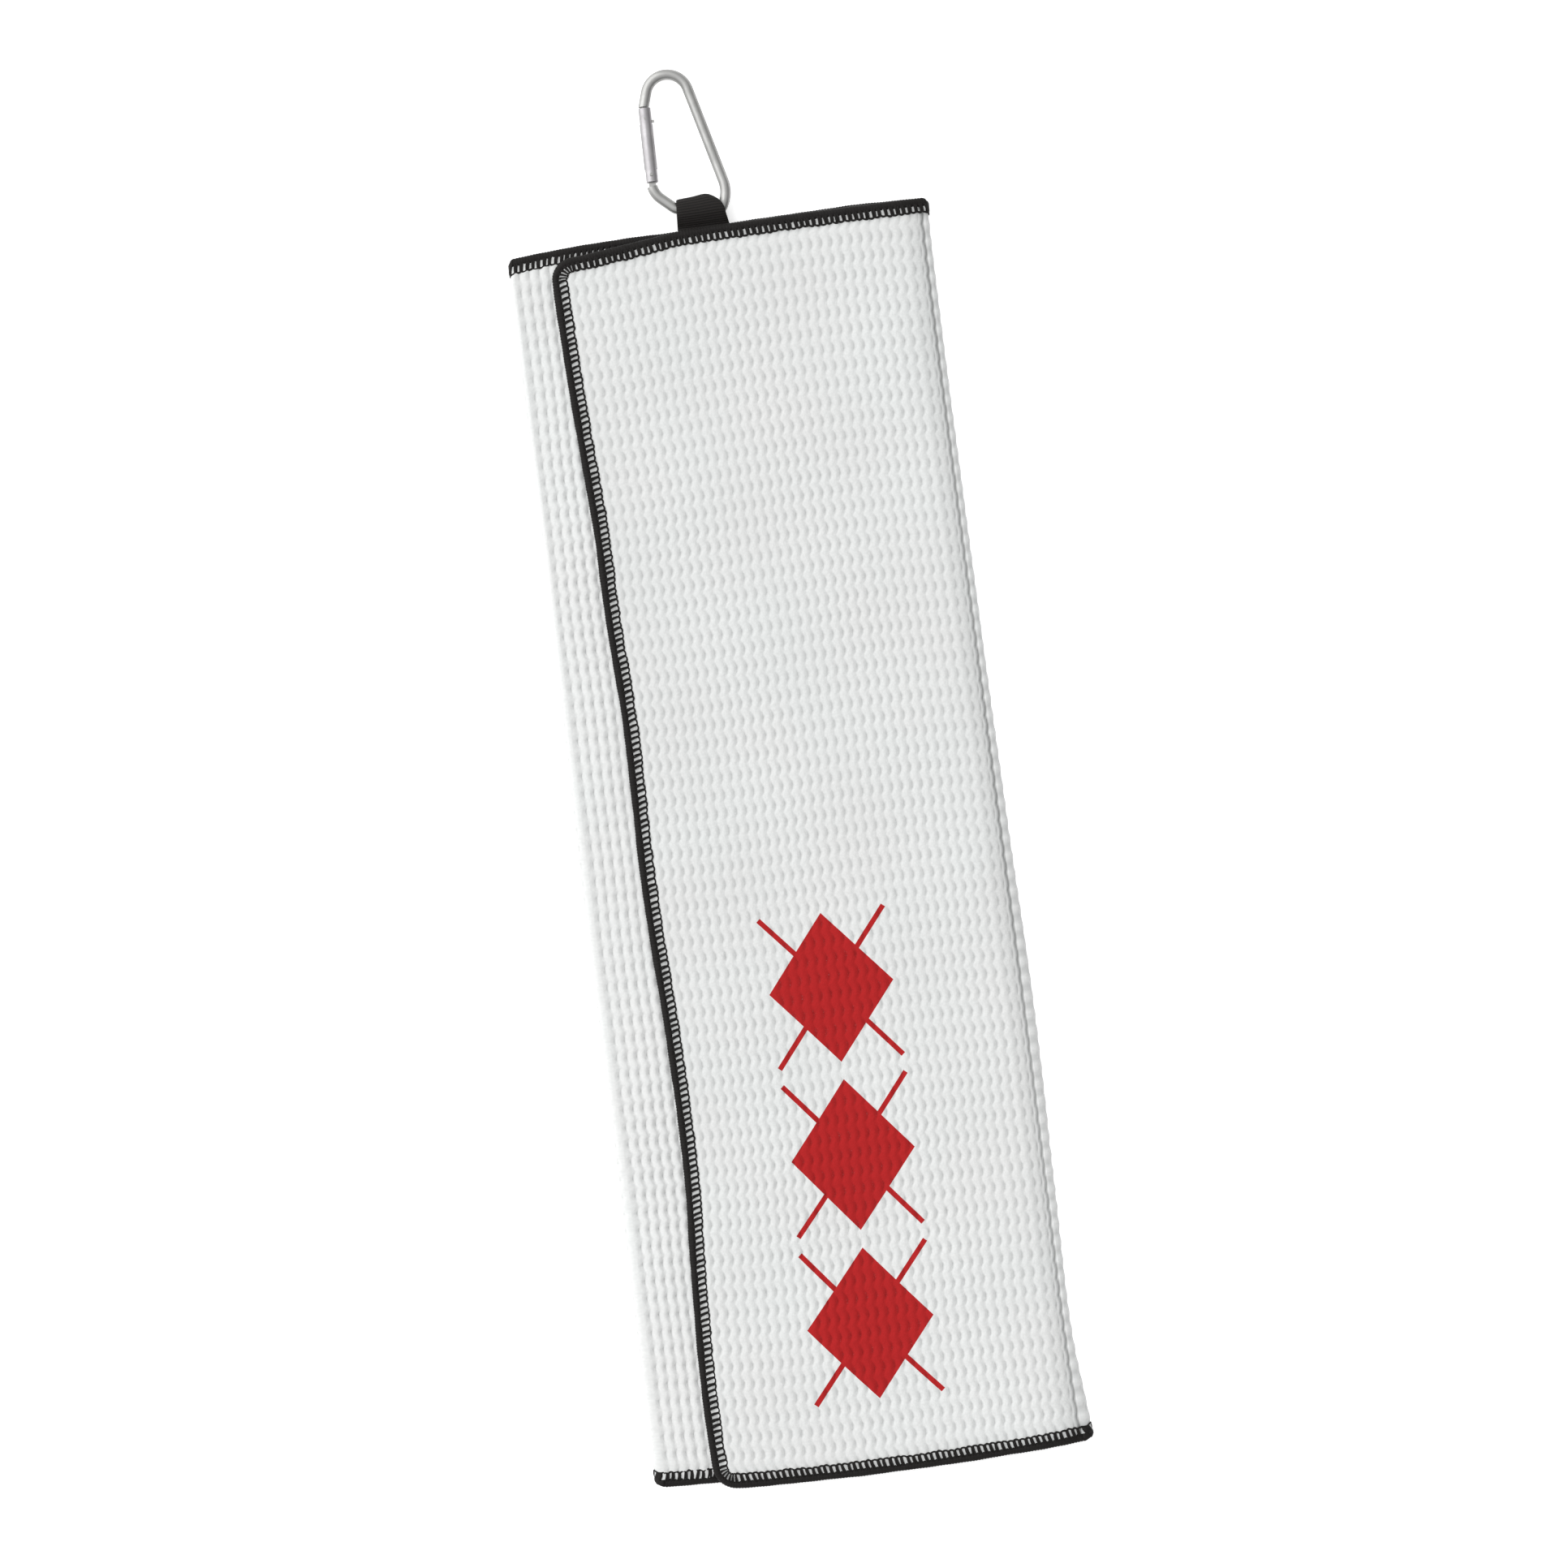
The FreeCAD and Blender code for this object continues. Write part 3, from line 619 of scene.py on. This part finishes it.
cloth = cloth_material("towel_cloth", WHITE_CLOTH)
inked = cloth_material("printed_ink", RED_INK, ink=True)
edging = thread_material("edging_thread", BLACK_THREAD)
seam_thread = thread_material("seam_thread", shade(BLACK_THREAD, 1.3))
webbing = webbing_material("webbing", BLACK_THREAD)
hook_metal = metal_material("hook_wire", WIRE_METAL, 0.42)
gate_metal = metal_material("hook_gate", GATE_METAL, 0.42)
rivet_metal = metal_material("rivet_steel", RIVET_METAL, 0.28)
brass = metal_material("plunger_brass", BRASS, 0.32)
spring_metal = metal_material("spring_steel", SPRING_METAL, 0.30)


# --- cloth pieces --------------------------------------------------------------------------------------

PRINT_LOW, PRINT_HIGH = node_box("printed_pattern")
LOZENGE_COUNT = 3
LOZENGE_PITCH = 58.0
LOZENGE_HALF_X = 22.0
LOZENGE_HALF_Y = 26.0
LINE_HALF = 0.9
CUT_MARGIN = 3.0


def lozenge_centres():
    """The lozenges' centres on the front panel, in flat cloth coordinates."""
    u = (PRINT_LOW[0] + PRINT_HIGH[0]) / 2 - FRONT_EDGE_X
    v = (PRINT_LOW[1] + PRINT_HIGH[1]) / 2
    return [(u, v + (i - (LOZENGE_COUNT - 1) / 2) * LOZENGE_PITCH) for i in range(LOZENGE_COUNT)]


def print_parts():
    """Each printed shape as (centre u, centre v, [(normal u, normal v, distance), ...]) half-planes."""
    slant = math.hypot(LOZENGE_HALF_X, LOZENGE_HALF_Y)
    lean_u, lean_v = LOZENGE_HALF_Y / slant, LOZENGE_HALF_X / slant
    apothem = LOZENGE_HALF_X * LOZENGE_HALF_Y / slant
    parts = []
    for u, v in lozenge_centres():
        sides = [(a * lean_u, b * lean_v, apothem) for a in (-1, 1) for b in (-1, 1)]
        parts.append((u, v, sides))
        for side in (-1, 1):
            along = (LOZENGE_HALF_X / slant, side * LOZENGE_HALF_Y / slant)
            over = (-along[1], along[0])
            line = [(*over, LINE_HALF), (-over[0], -over[1], LINE_HALF),
                    (*along, slant), (-along[0], -along[1], slant)]
            parts.append((u, v, line))
    return parts


def cut_print(points, faces, border):
    """The flat shell with its top face cut along the print's outlines, and each face's material."""
    mesh = bpy.data.meshes.new("cutting")
    mesh.from_pydata(points.tolist(), [], faces.tolist())
    bm = bmesh.new()
    bm.from_mesh(mesh)
    bpy.data.meshes.remove(mesh)
    marks = bm.verts.layers.int.new("border")
    bm.verts.ensure_lookup_table()
    for i in np.flatnonzero(border):
        bm.verts[i][marks] = 1
    for u, v, sides in print_parts():
        reach = math.hypot(LOZENGE_HALF_X, LOZENGE_HALF_Y) + CUT_MARGIN
        for normal_u, normal_v, distance in sides:
            near = [f for f in bm.faces if all(abs(c.co.x - u) < reach and abs(c.co.y - v) < reach
                                               and c.co.z > 0 for c in f.verts)]
            around = list({e for f in near for e in f.edges}) + list({c for f in near for c in f.verts})
            bmesh.ops.bisect_plane(bm, geom=near + around, dist=1e-4,
                                   plane_co=(u + normal_u * distance, v + normal_v * distance, 0),
                                   plane_no=(normal_u, normal_v, 0))
    bm.verts.index_update()
    flat = np.array([c.co for c in bm.verts])
    edge = np.array([c[marks] for c in bm.verts], bool)
    quads = [[c.index for c in f.verts] for f in bm.faces]
    middles = np.array([f.calc_center_median() for f in bm.faces])
    bm.free()
    printed = np.zeros(len(quads), bool)
    for u, v, sides in print_parts():
        inside = middles[:, 2] > 0
        for normal_u, normal_v, distance in sides:
            inside &= (middles[:, 0] - u) * normal_u + (middles[:, 1] - v) * normal_v < distance
        printed |= inside
    return flat, quads, edge, printed


def cloth_piece(name, flat, nodes, body=None, free_edge=None, printed=False):
    """One length of the towel's cloth, from its flat arrays."""
    u, v, top, bottom = flat
    if free_edge is not None:
        u = round_corners(u, v, *free_edge)
    points, faces, border = closed_shell(u, v, top, bottom)
    indices = None
    if printed:
        points, faces, border, indices = cut_print(points, faces, border)
    else:
        faces = faces.tolist()
    rib = (np.abs(points[:, 2]) - CLOTH_CORE) / RIB_HEIGHT
    made = make_object(name, place(*points.T), faces, [cloth, inked] if printed else cloth,
                       flat_uv=points, rib=rib, sharp=border, indices=indices)
    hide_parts(*nodes)
    if body:
        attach(made, body)
    return made


front = cloth_piece("front_cloth", flat_panel(EDGE_INSET, FRONT_END, CREASE_COLUMNS),
                    ["front_panel", "printed_pattern"], "front", (EDGE_INSET, 1), printed=True)
middle = cloth_piece("middle_cloth", flat_panel(MIDDLE_START, MIDDLE_END), ["middle_panel"], "middle")
back = cloth_piece("back_cloth", flat_panel(BACK_START, BACK_END - EDGE_INSET), ["back_panel"], "back",
                   (BACK_END - EDGE_INSET, -1))
right_fold = cloth_piece("right_fold_cloth", flat_fold(FRONT_END, MIDDLE_START), ["right_fold"])
left_fold = cloth_piece("left_fold_cloth", flat_fold(MIDDLE_END, BACK_START), ["left_fold"])


# --- overlocked edges ----------------------------------------------------------------------------------

def straight(a, b):
    """Points from a to b, close together."""
    count = max(2, int(math.dist(a, b) / TRACK_STEP))
    return [(a[0] + (b[0] - a[0]) * i / count, a[1] + (b[1] - a[1]) * i / count) for i in range(count)]


def corner(centre, start_degrees):
    """Points round a quarter turn, anticlockwise."""
    turns = [math.radians(start_degrees + 90 * i / CORNER_STEPS) for i in range(CORNER_STEPS)]
    return [(centre[0] + CORNER_RADIUS * math.cos(t), centre[1] + CORNER_RADIUS * math.sin(t))
            for t in turns]


def free_side_track(edge, inner_end, inward):
    """The line round a panel's top, free side and bottom, with the panel on its left."""
    r, top = CORNER_RADIUS, HALF_LENGTH
    near = edge + inward * r
    if inward > 0:
        return (straight((inner_end, top), (near, top)) + corner((near, top - r), 90)
                + straight((edge, top - r), (edge, r - top)) + corner((near, r - top), 180)
                + straight((near, -top), (inner_end, -top)) + [(inner_end, -top)])
    return (straight((inner_end, -top), (near, -top)) + corner((near, r - top), 270)
            + straight((edge, r - top), (edge, top - r)) + corner((near, top - r), 0)
            + straight((near, top), (inner_end, top)) + [(inner_end, top)])


class Track:
    """A line on flat cloth that can be read by distance along it, with how far inward of it a point is."""

    def __init__(self, line):
        self.line = np.array(line, float)
        self.along = lengths_along(self.line)
        self.length = self.along[-1]
        ahead = np.gradient(self.line, self.along, axis=0)
        ahead /= np.hypot(*ahead.T)[:, None]
        self.inward = np.stack([-ahead[:, 1], ahead[:, 0]], -1)

    def at(self, s, d):
        u = np.interp(s, self.along, self.line[:, 0]) + d * np.interp(s, self.along, self.inward[:, 0])
        v = np.interp(s, self.along, self.line[:, 1]) + d * np.interp(s, self.along, self.inward[:, 1])
        return u, v


def tube_grid(track, s, d, h):
    """Mesh points and faces of a tube whose rings are the rows of s, d and h, with closed ends."""
    rows, columns = s.shape
    u, v = track.at(s, d)
    return place(u, v, h).reshape(-1, 3), tube_faces(rows, columns)


def packed(v):
    """How tightly the stitches are packed at this height: 1 along a top edge and 0 down a free side."""
    ends = smooth((np.abs(v) - HALF_LENGTH + PACKED_REACH) / PACKED_REACH)
    return ends * np.where(np.asarray(v) > 0, 1.0, PACKED_AT_BOTTOM)


def band(track):
    """The dense outer band of wrapped thread, ridged by its turns."""
    samples = max(4, round(track.length / STITCH_PITCH * 6))
    s, turn = np.meshgrid(np.linspace(0, track.length, samples + 1),
                          np.arange(BAND_SIDES) * math.tau / BAND_SIDES, indexing="ij")
    wrap = np.sin(math.tau * (s / STITCH_PITCH * 2) + 1.2 * np.cos(turn))
    swell = 1 + 0.075 * wrap + 0.03 * np.sin(s / 3.1) + 0.02 * np.sin(s / 1.27 + 1.0)
    scallops = 1 + 0.10 * np.cos(math.tau * (s / STITCH_PITCH - 0.5))
    inward = scallops + PACKED_BAND * packed(track.at(s, 0.0)[1])
    reach = np.where(np.cos(turn) > 0, inward, 1.0)
    d = BAND_CENTRE + BAND_HALF_WIDTH * swell * reach * np.cos(turn) * (0.96 + 0.04 * np.sin(s / 5.3))
    h = BAND_HALF_HEIGHT * swell * np.sign(np.sin(turn)) * np.abs(np.sin(turn)) ** 0.8
    return tube_grid(track, s, d, h)


def needle_line(track, side, stitches, pitch):
    """The thread along one face that loops from stitch to stitch round their inner ends."""
    samples = max(6, round(track.length / pitch * 6))
    s, turn = np.meshgrid(np.linspace(0, track.length, samples + 1),
                          np.arange(THREAD_SIDES) * math.tau / THREAD_SIDES, indexing="ij")
    loop = 2 * np.abs(np.cos(math.pi * (s - STITCH_LEAN / 2) / pitch)) ** 0.8 - 1
    thick = 0.34 + 0.06 * packed(track.at(s, 0.0)[1])
    d = np.interp(s, *stitches) + LOOP_DEPTH * loop + thick * np.cos(turn)
    h = side * (1.0 - 0.10 * loop) + THREAD_HALF_HEIGHT * np.sin(turn)
    return tube_grid(track, s, d, h)


def rungs(track, side, stitches, rng):
    """The stitch threads on one face, two to a stitch, that close up from the band to the needle line."""
    threads = []
    share, turn = ring_grid(5, THREAD_SIDES)
    for s0, inner in zip(*stitches):
        dense = float(packed(track.at(s0, 0.0)[1]))
        lean = STITCH_LEAN * (1 - 0.4 * dense) + rng.uniform(-LEAN_SPREAD, LEAN_SPREAD)
        spread = rng.uniform(*RUNG_SPREAD)
        for strand in (-1, 1):
            thick = rng.uniform(*RUNG_RADIUS) + PACKED_RUNG * dense
            d = RUNG_START + (inner - 0.12 - RUNG_START) * share
            apart = strand * spread * (1 - (0.72 - 0.42 * dense) * share)
            bow = -0.12 * np.sin(math.pi * share)
            s = s0 + apart + bow + lean * (share - 0.5) + thick * np.cos(turn)
            h = side * (0.98 + 0.20 * np.sin(math.pi * share)) + THREAD_HALF_HEIGHT * np.sin(turn)
            threads.append(tube_grid(track, s, d, h))
    return joined(threads)


def overlock(name, lines, node, seed, body=None):
    """The black stitched edging along one or more lines of a panel or fold."""
    rng = np.random.default_rng(seed)
    parts = []
    for line in lines:
        track = Track(line)
        count = max(1, round(track.length / STITCH_PITCH))
        pitch = track.length / count
        places = (np.arange(count) + 0.5) * pitch
        parts.append(band(track))
        for side in (-1, 1):
            inner = NEEDLE_LINE + rng.uniform(-NEEDLE_SPREAD, NEEDLE_SPREAD, count)
            at = places + rng.uniform(-PLACE_SPREAD, PLACE_SPREAD, count)
            parts.append(rungs(track, side, (at, inner), rng))
            parts.append(needle_line(track, side, (at, inner), pitch))
    made = make_object(name, *joined(parts), edging)
    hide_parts(node)
    if body:
        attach(made, body)
    return made


def end_lines(start, end, gap=None):
    """The lines along a panel's bottom and top edges, with the panel on their left.

    gap is where the top edge has no line."""
    bottom = straight((start, -HALF_LENGTH), (end, -HALF_LENGTH)) + [(end, -HALF_LENGTH)]
    stops = [end, start] if gap is None else [end, gap[1], gap[0], start]
    tops = [straight((a, HALF_LENGTH), (b, HALF_LENGTH)) + [(b, HALF_LENGTH)]
            for a, b in zip(stops[::2], stops[1::2])]
    return [bottom, *tops]


webbing_gap = (MIDDLE_START + RIGHT_FOLD_X - TAIL_HIGH[0] - 0.2,
               MIDDLE_START + RIGHT_FOLD_X - TAIL_LOW[0] + 0.2)
front_edging = overlock("front_overlock", [free_side_track(0, FRONT_END, 1)],
                        "front_panel_edging", 11, "front")
back_edging = overlock("back_overlock", [free_side_track(BACK_END, BACK_START, -1)],
                       "back_panel_edging", 12, "back")
middle_edging = overlock("middle_overlock", end_lines(MIDDLE_START, MIDDLE_END, webbing_gap),
                         "middle_panel_edging", 13, "middle")
right_edging = overlock("right_fold_overlock", end_lines(FRONT_END, MIDDLE_START), "right_fold_edging", 14)
left_edging = overlock("left_fold_overlock", end_lines(MIDDLE_END, BACK_START), "left_fold_edging", 15)


# --- webbing -------------------------------------------------------------------------------------------

WEBBING_WIDTH = TAIL_HIGH[0] - TAIL_LOW[0]
LOWER_PLATE_Z = TAIL_LOW[2] + WEBBING_HALF
UPPER_PLATE_Z = TAIL_HIGH[2] - WEBBING_HALF
LOOP_BASE_Y = 216.2
LOOP_BEND_Y = 217.0  # above this the loop narrows and its top tilts

# The loop's centre line seen from the side, as y and z.
LOOP_LINE = ((LOOP_BASE_Y, LOWER_PLATE_Z), (217.6, 3.1), (219.6, 2.2), (222.0, 0.85), (224.9, 0.78),
             (227.0, 2.1), (227.72, 4.3), (227.0, 6.5), (224.9, 7.82), (222.0, 7.75), (219.6, 6.2),
             (217.6, 4.75), (LOOP_BASE_Y, UPPER_PLATE_Z))


def strip_shell(centre, normal, across):
    """A woven strip round a centre line: rows of points for both faces, closed all round.

    centre and normal are (rows, 2) arrays in y and z, across the columns' shares of the width."""
    rows = len(centre)
    along = lengths_along(centre)
    round_edge = np.sqrt(np.clip(1 - np.abs(2 * across - 1) ** 9, 0, 1))
    ribs = WEBBING_RIB_HALF * np.cos(math.tau * along / WEBBING_RIB_PITCH)
    half = (WEBBING_HALF - WEBBING_RIB_HALF + ribs)[:, None] * round_edge[None, :]
    outer = centre[:, None, :] + normal[:, None, :] * half[..., None]
    inner = centre[:, None, :] - normal[:, None, :] * half[..., None]
    inner_columns = slice(len(across) - 2, 0, -1)
    ring = np.concatenate([outer, inner[:, inner_columns]], 1)
    shares = np.concatenate([across, across[inner_columns]])
    shape = (rows, len(shares))
    return ring, np.broadcast_to(shares, shape), np.broadcast_to(along[:, None], shape), tube_faces(*shape)


def even_line(points, step):
    """A smooth line through a few points, resampled to even steps, and its left-hand normals."""
    corners = np.array(points, float)
    knots = lengths_along(corners)
    fine = np.linspace(0, knots[-1], 600)
    line = np.stack([through(list(zip(knots, corners[:, k])), fine) for k in (0, 1)], -1)
    along = lengths_along(line)
    places = np.linspace(0, along[-1], int(along[-1] / step) + 1)
    line = np.stack([np.interp(places, along, line[:, k]) for k in (0, 1)], -1)
    ahead = np.gradient(line, axis=0)
    ahead /= np.hypot(*ahead.T)[:, None]
    return line, np.stack([ahead[:, 1], -ahead[:, 0]], -1)


LOOP_LEFT_LEAN = 0.8
LOOP_LEAN = ((0, 0.0), (0.3, 0.7), (0.6, 1.45), (0.74, 2.5), (1, 6.1))
LOOP_TILT = ((0, 0.955), (0.5, 0.985), (0.88, 1.03), (1, 1.02))
STRIP_SHARES = np.array([0, 0.004, 0.012, 0.03, 0.07, 0.14, 0.24, 0.36, 0.5,
                         0.64, 0.76, 0.86, 0.93, 0.97, 0.988, 0.996, 1.0])


def webbing_loop():
    """The eye of webbing that holds the hook. Its right side leans in over the wire, as in use."""
    line, normal = even_line(LOOP_LINE, LINE_STEP)
    ring, shares, along, faces = strip_shell(line, normal, STRIP_SHARES)
    y, z = ring[..., 0], ring[..., 1]
    rise = np.clip((y - LOOP_BEND_Y) / (LOOP_TOP_Y - LOOP_BEND_Y), 0, 1)
    left = TAIL_LOW[0] + LOOP_LEFT_LEAN * rise
    right = TAIL_HIGH[0] - through(LOOP_LEAN, rise)
    x = left + (right - left) * shares
    y = np.where(y > LOOP_BEND_Y, LOOP_BEND_Y + (y - LOOP_BEND_Y) * through(LOOP_TILT, shares), y)
    points = np.stack([x, y, z], -1).reshape(-1, 3)
    flat = np.stack([shares * WEBBING_WIDTH, along, np.zeros_like(along)], -1).reshape(-1, 3)
    made = make_object("webbing_loop_weave", points, faces, webbing, flat_uv=flat)
    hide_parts("webbing_loop")
    return made


def webbing_tail():
    """The two ends of the webbing, sewn one on each face of the middle panel."""
    strips, flat = [], []
    for z, side in ((LOWER_PLATE_Z, -1), (UPPER_PLATE_Z, 1)):
        ys = np.arange(TAIL_LOW[1], LOOP_BASE_Y + 0.3, WEBBING_RIB_PITCH / 4)
        line = np.stack([ys, np.full_like(ys, z)], -1)
        normal = np.tile([0.0, float(side)], (len(ys), 1))
        ring, shares, along, faces = strip_shell(line, normal, STRIP_SHARES)
        x = TAIL_LOW[0] + WEBBING_WIDTH * shares
        rise = lie(x, ring[..., 0])
        strips.append((np.stack([x, ring[..., 0], ring[..., 1] + rise], -1).reshape(-1, 3),
                       [face[::side] for face in faces]))
        flat.append(np.stack([shares * WEBBING_WIDTH, along, np.zeros_like(along)], -1).reshape(-1, 3))
    made = make_object("webbing_tail_weave", *joined(strips), webbing, flat_uv=np.concatenate(flat))
    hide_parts("webbing_tail")
    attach(made, "middle")
    return made


def seam_stitches():
    """Box and cross of lock stitches through both ends of the webbing."""
    x0, x1 = SEAM_LOW[0] + SEAM_MARGIN, SEAM_HIGH[0] - SEAM_MARGIN
    y0, y1 = SEAM_LOW[1] + SEAM_MARGIN, SEAM_HIGH[1] - SEAM_MARGIN
    runs = [((x0, y0), (x1, y0)), ((x1, y0), (x1, y1)), ((x1, y1), (x0, y1)), ((x0, y1), (x0, y0)),
            ((x0, y0), (x1, y1)), ((x0, y1), (x1, y0))]
    share, turn = ring_grid(7, THREAD_SIDES)
    swell = np.sqrt(np.clip(1 - (2 * share - 1) ** 6, 0.02, 1))
    threads = []
    for a, b in runs:
        run = math.dist(a, b)
        count = round(run / SEAM_STITCH)
        ahead = np.array([(b[0] - a[0]) / run, (b[1] - a[1]) / run])
        over = np.array([-ahead[1], ahead[0]])
        for k in range(count):
            for side, face_z in ((-1, TAIL_LOW[2]), (1, TAIL_HIGH[2])):
                t = (k + 0.1 + 0.8 * share) * run / count
                width = 0.30 * swell * np.cos(turn)
                x = a[0] + ahead[0] * t + over[0] * width
                y = a[1] + ahead[1] * t + over[1] * width
                dip = side * (0.16 * np.sin(math.pi * share) - 0.08)
                z = face_z + dip + 0.20 * swell * np.sin(turn) + lie(x, y)
                threads.append((np.stack([x, y, z], -1).reshape(-1, 3), tube_faces(*x.shape)))
    made = make_object("webbing_seam_stitches", *joined(threads), seam_thread)
    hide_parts("webbing_seam")
    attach(made, "middle")
    return made


loop = webbing_loop()
tail = webbing_tail()
seam = seam_stitches()


# --- hook ----------------------------------------------------------------------------------------------

HOOK_FINISH = {"hook_frame": hook_metal, "gate": gate_metal, "pivot_rivet": rivet_metal,
               "latch_pin": rivet_metal, "gate_plunger": brass, "gate_spring": spring_metal}
for node, finish in HOOK_FINISH.items():
    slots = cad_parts[node].data.materials
    for i in range(len(slots)):
        slots[i] = finish


# --- the folds, their edging and the loop baked in place, and the folds' cloth areas -------------------


for piece in (right_fold, right_edging):
    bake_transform(piece)
for piece in (left_fold, left_edging):
    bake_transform(piece)
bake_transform(loop)

LENGTH = 2 * HALF_LENGTH * MM


def fold_area(start, end):
    """The flat area of the cloth in a fold, in square metres, from its middle line at many heights."""
    heights = np.linspace(-HALF_LENGTH, HALF_LENGTH, 200)
    v, u = np.meshgrid(heights, np.linspace(start, end, 25), indexing="ij")
    line = place(u, v, 0.0)[..., [0, 2]]
    round_fold = np.hypot(*np.moveaxis(np.diff(line, axis=1), -1, 0)).sum(1)
    return round_fold.mean() * MM * LENGTH


fold_area(FRONT_END, MIDDLE_START)
fold_area(MIDDLE_END, BACK_START)


# --- floor, light and camera ---------------------------------------------------------------------------

FLOOR_HALF = 6.0  # metres
FLOOR_GAP = 0.3
FLOOR_GLOW = 0.50
KEY_DIRECTION = (-0.78, 0.52, 0.66)
KEY_STRENGTH = 1.60
KEY_SPREAD = 75
SKY_DIRECTION = (-0.45, 0.30, 0.85)
SKY_DARKEST, SKY_BRIGHTEST = 0.30, 1.16
PHOTO_TURN = math.radians(-7.264)
VIEW_WIDTH = 542.9
CAMERA_HEIGHT = 1800.0
CAMERA_X, CAMERA_Y = -1.39, 21.85
TOWEL_TOP = 7.8


def pale_floor():
    """A wide white tabletop, a little under the towel."""
    half = FLOOR_HALF
    mesh = bpy.data.meshes.new("floor")
    corners = [(-half, -half, 0), (half, -half, 0), (half, half, 0), (-half, half, 0)]
    mesh.from_pydata(corners, [], [(0, 1, 2, 3)])
    made = bpy.data.objects.new("floor", mesh)
    made.location.z = -FLOOR_GAP * MM
    bpy.context.scene.collection.objects.link(made)
    n = Nodes("floor")
    mesh.materials.append(n.surface(
        Base_Color=(0.95, 0.95, 0.95, 1.0), Roughness=0.9, Specular_IOR_Level=0.1,
        Emission_Color=(1.0, 1.0, 1.0, 1.0), Emission_Strength=FLOOR_GLOW))


def sky():
    """Soft light from all round, brightest overhead and on the key lamp's side."""
    world = bpy.data.worlds.new("studio")
    bpy.context.scene.world = world
    world.use_nodes = True
    tree = world.node_tree
    where = tree.nodes.new("ShaderNodeTexCoord")
    facing = tree.nodes.new("ShaderNodeVectorMath")
    facing.operation = "DOT_PRODUCT"
    facing.inputs[1].default_value = Vector(SKY_DIRECTION).normalized()
    tree.links.new(where.outputs["Generated"], facing.inputs[0])
    ramp = tree.nodes.new("ShaderNodeMapRange")
    ramp.inputs["From Min"].default_value = -0.1
    ramp.inputs["From Max"].default_value = 1.0
    ramp.inputs["To Min"].default_value = SKY_DARKEST
    ramp.inputs["To Max"].default_value = SKY_BRIGHTEST
    tree.links.new(facing.outputs["Value"], ramp.inputs["Value"])
    tree.nodes["Background"].inputs["Color"].default_value = (1.0, 1.0, 1.0, 1.0)
    tree.links.new(ramp.outputs["Result"], tree.nodes["Background"].inputs["Strength"])


def lamp(name, towards, strength, spread_degrees):
    """A distant lamp. towards is the direction from the towel to it."""
    data = bpy.data.lights.new(name, "SUN")
    data.energy = strength
    data.angle = math.radians(spread_degrees)
    made = bpy.data.objects.new(name, data)
    made.rotation_mode = "QUATERNION"
    made.rotation_quaternion = Vector(towards).to_track_quat("Z", "Y")
    bpy.context.scene.collection.objects.link(made)


def camera():
    """Straight above the towel, turned so that the towel leans as it does in the picture."""
    data = bpy.data.cameras.new("camera")
    data.sensor_width = 36.0
    data.lens = data.sensor_width * CAMERA_HEIGHT / VIEW_WIDTH
    data.clip_start, data.clip_end = 0.1, 50.0
    made = bpy.data.objects.new("camera", data)
    made.location = (CAMERA_X * MM, CAMERA_Y * MM, (CAMERA_HEIGHT + TOWEL_TOP) * MM)
    made.rotation_euler = (0.0, 0.0, PHOTO_TURN)
    bpy.context.scene.collection.objects.link(made)
    bpy.context.scene.camera = made


pale_floor()
sky()
lamp("key", KEY_DIRECTION, KEY_STRENGTH, KEY_SPREAD)
camera()
bpy.context.scene.view_settings.view_transform = "Standard"
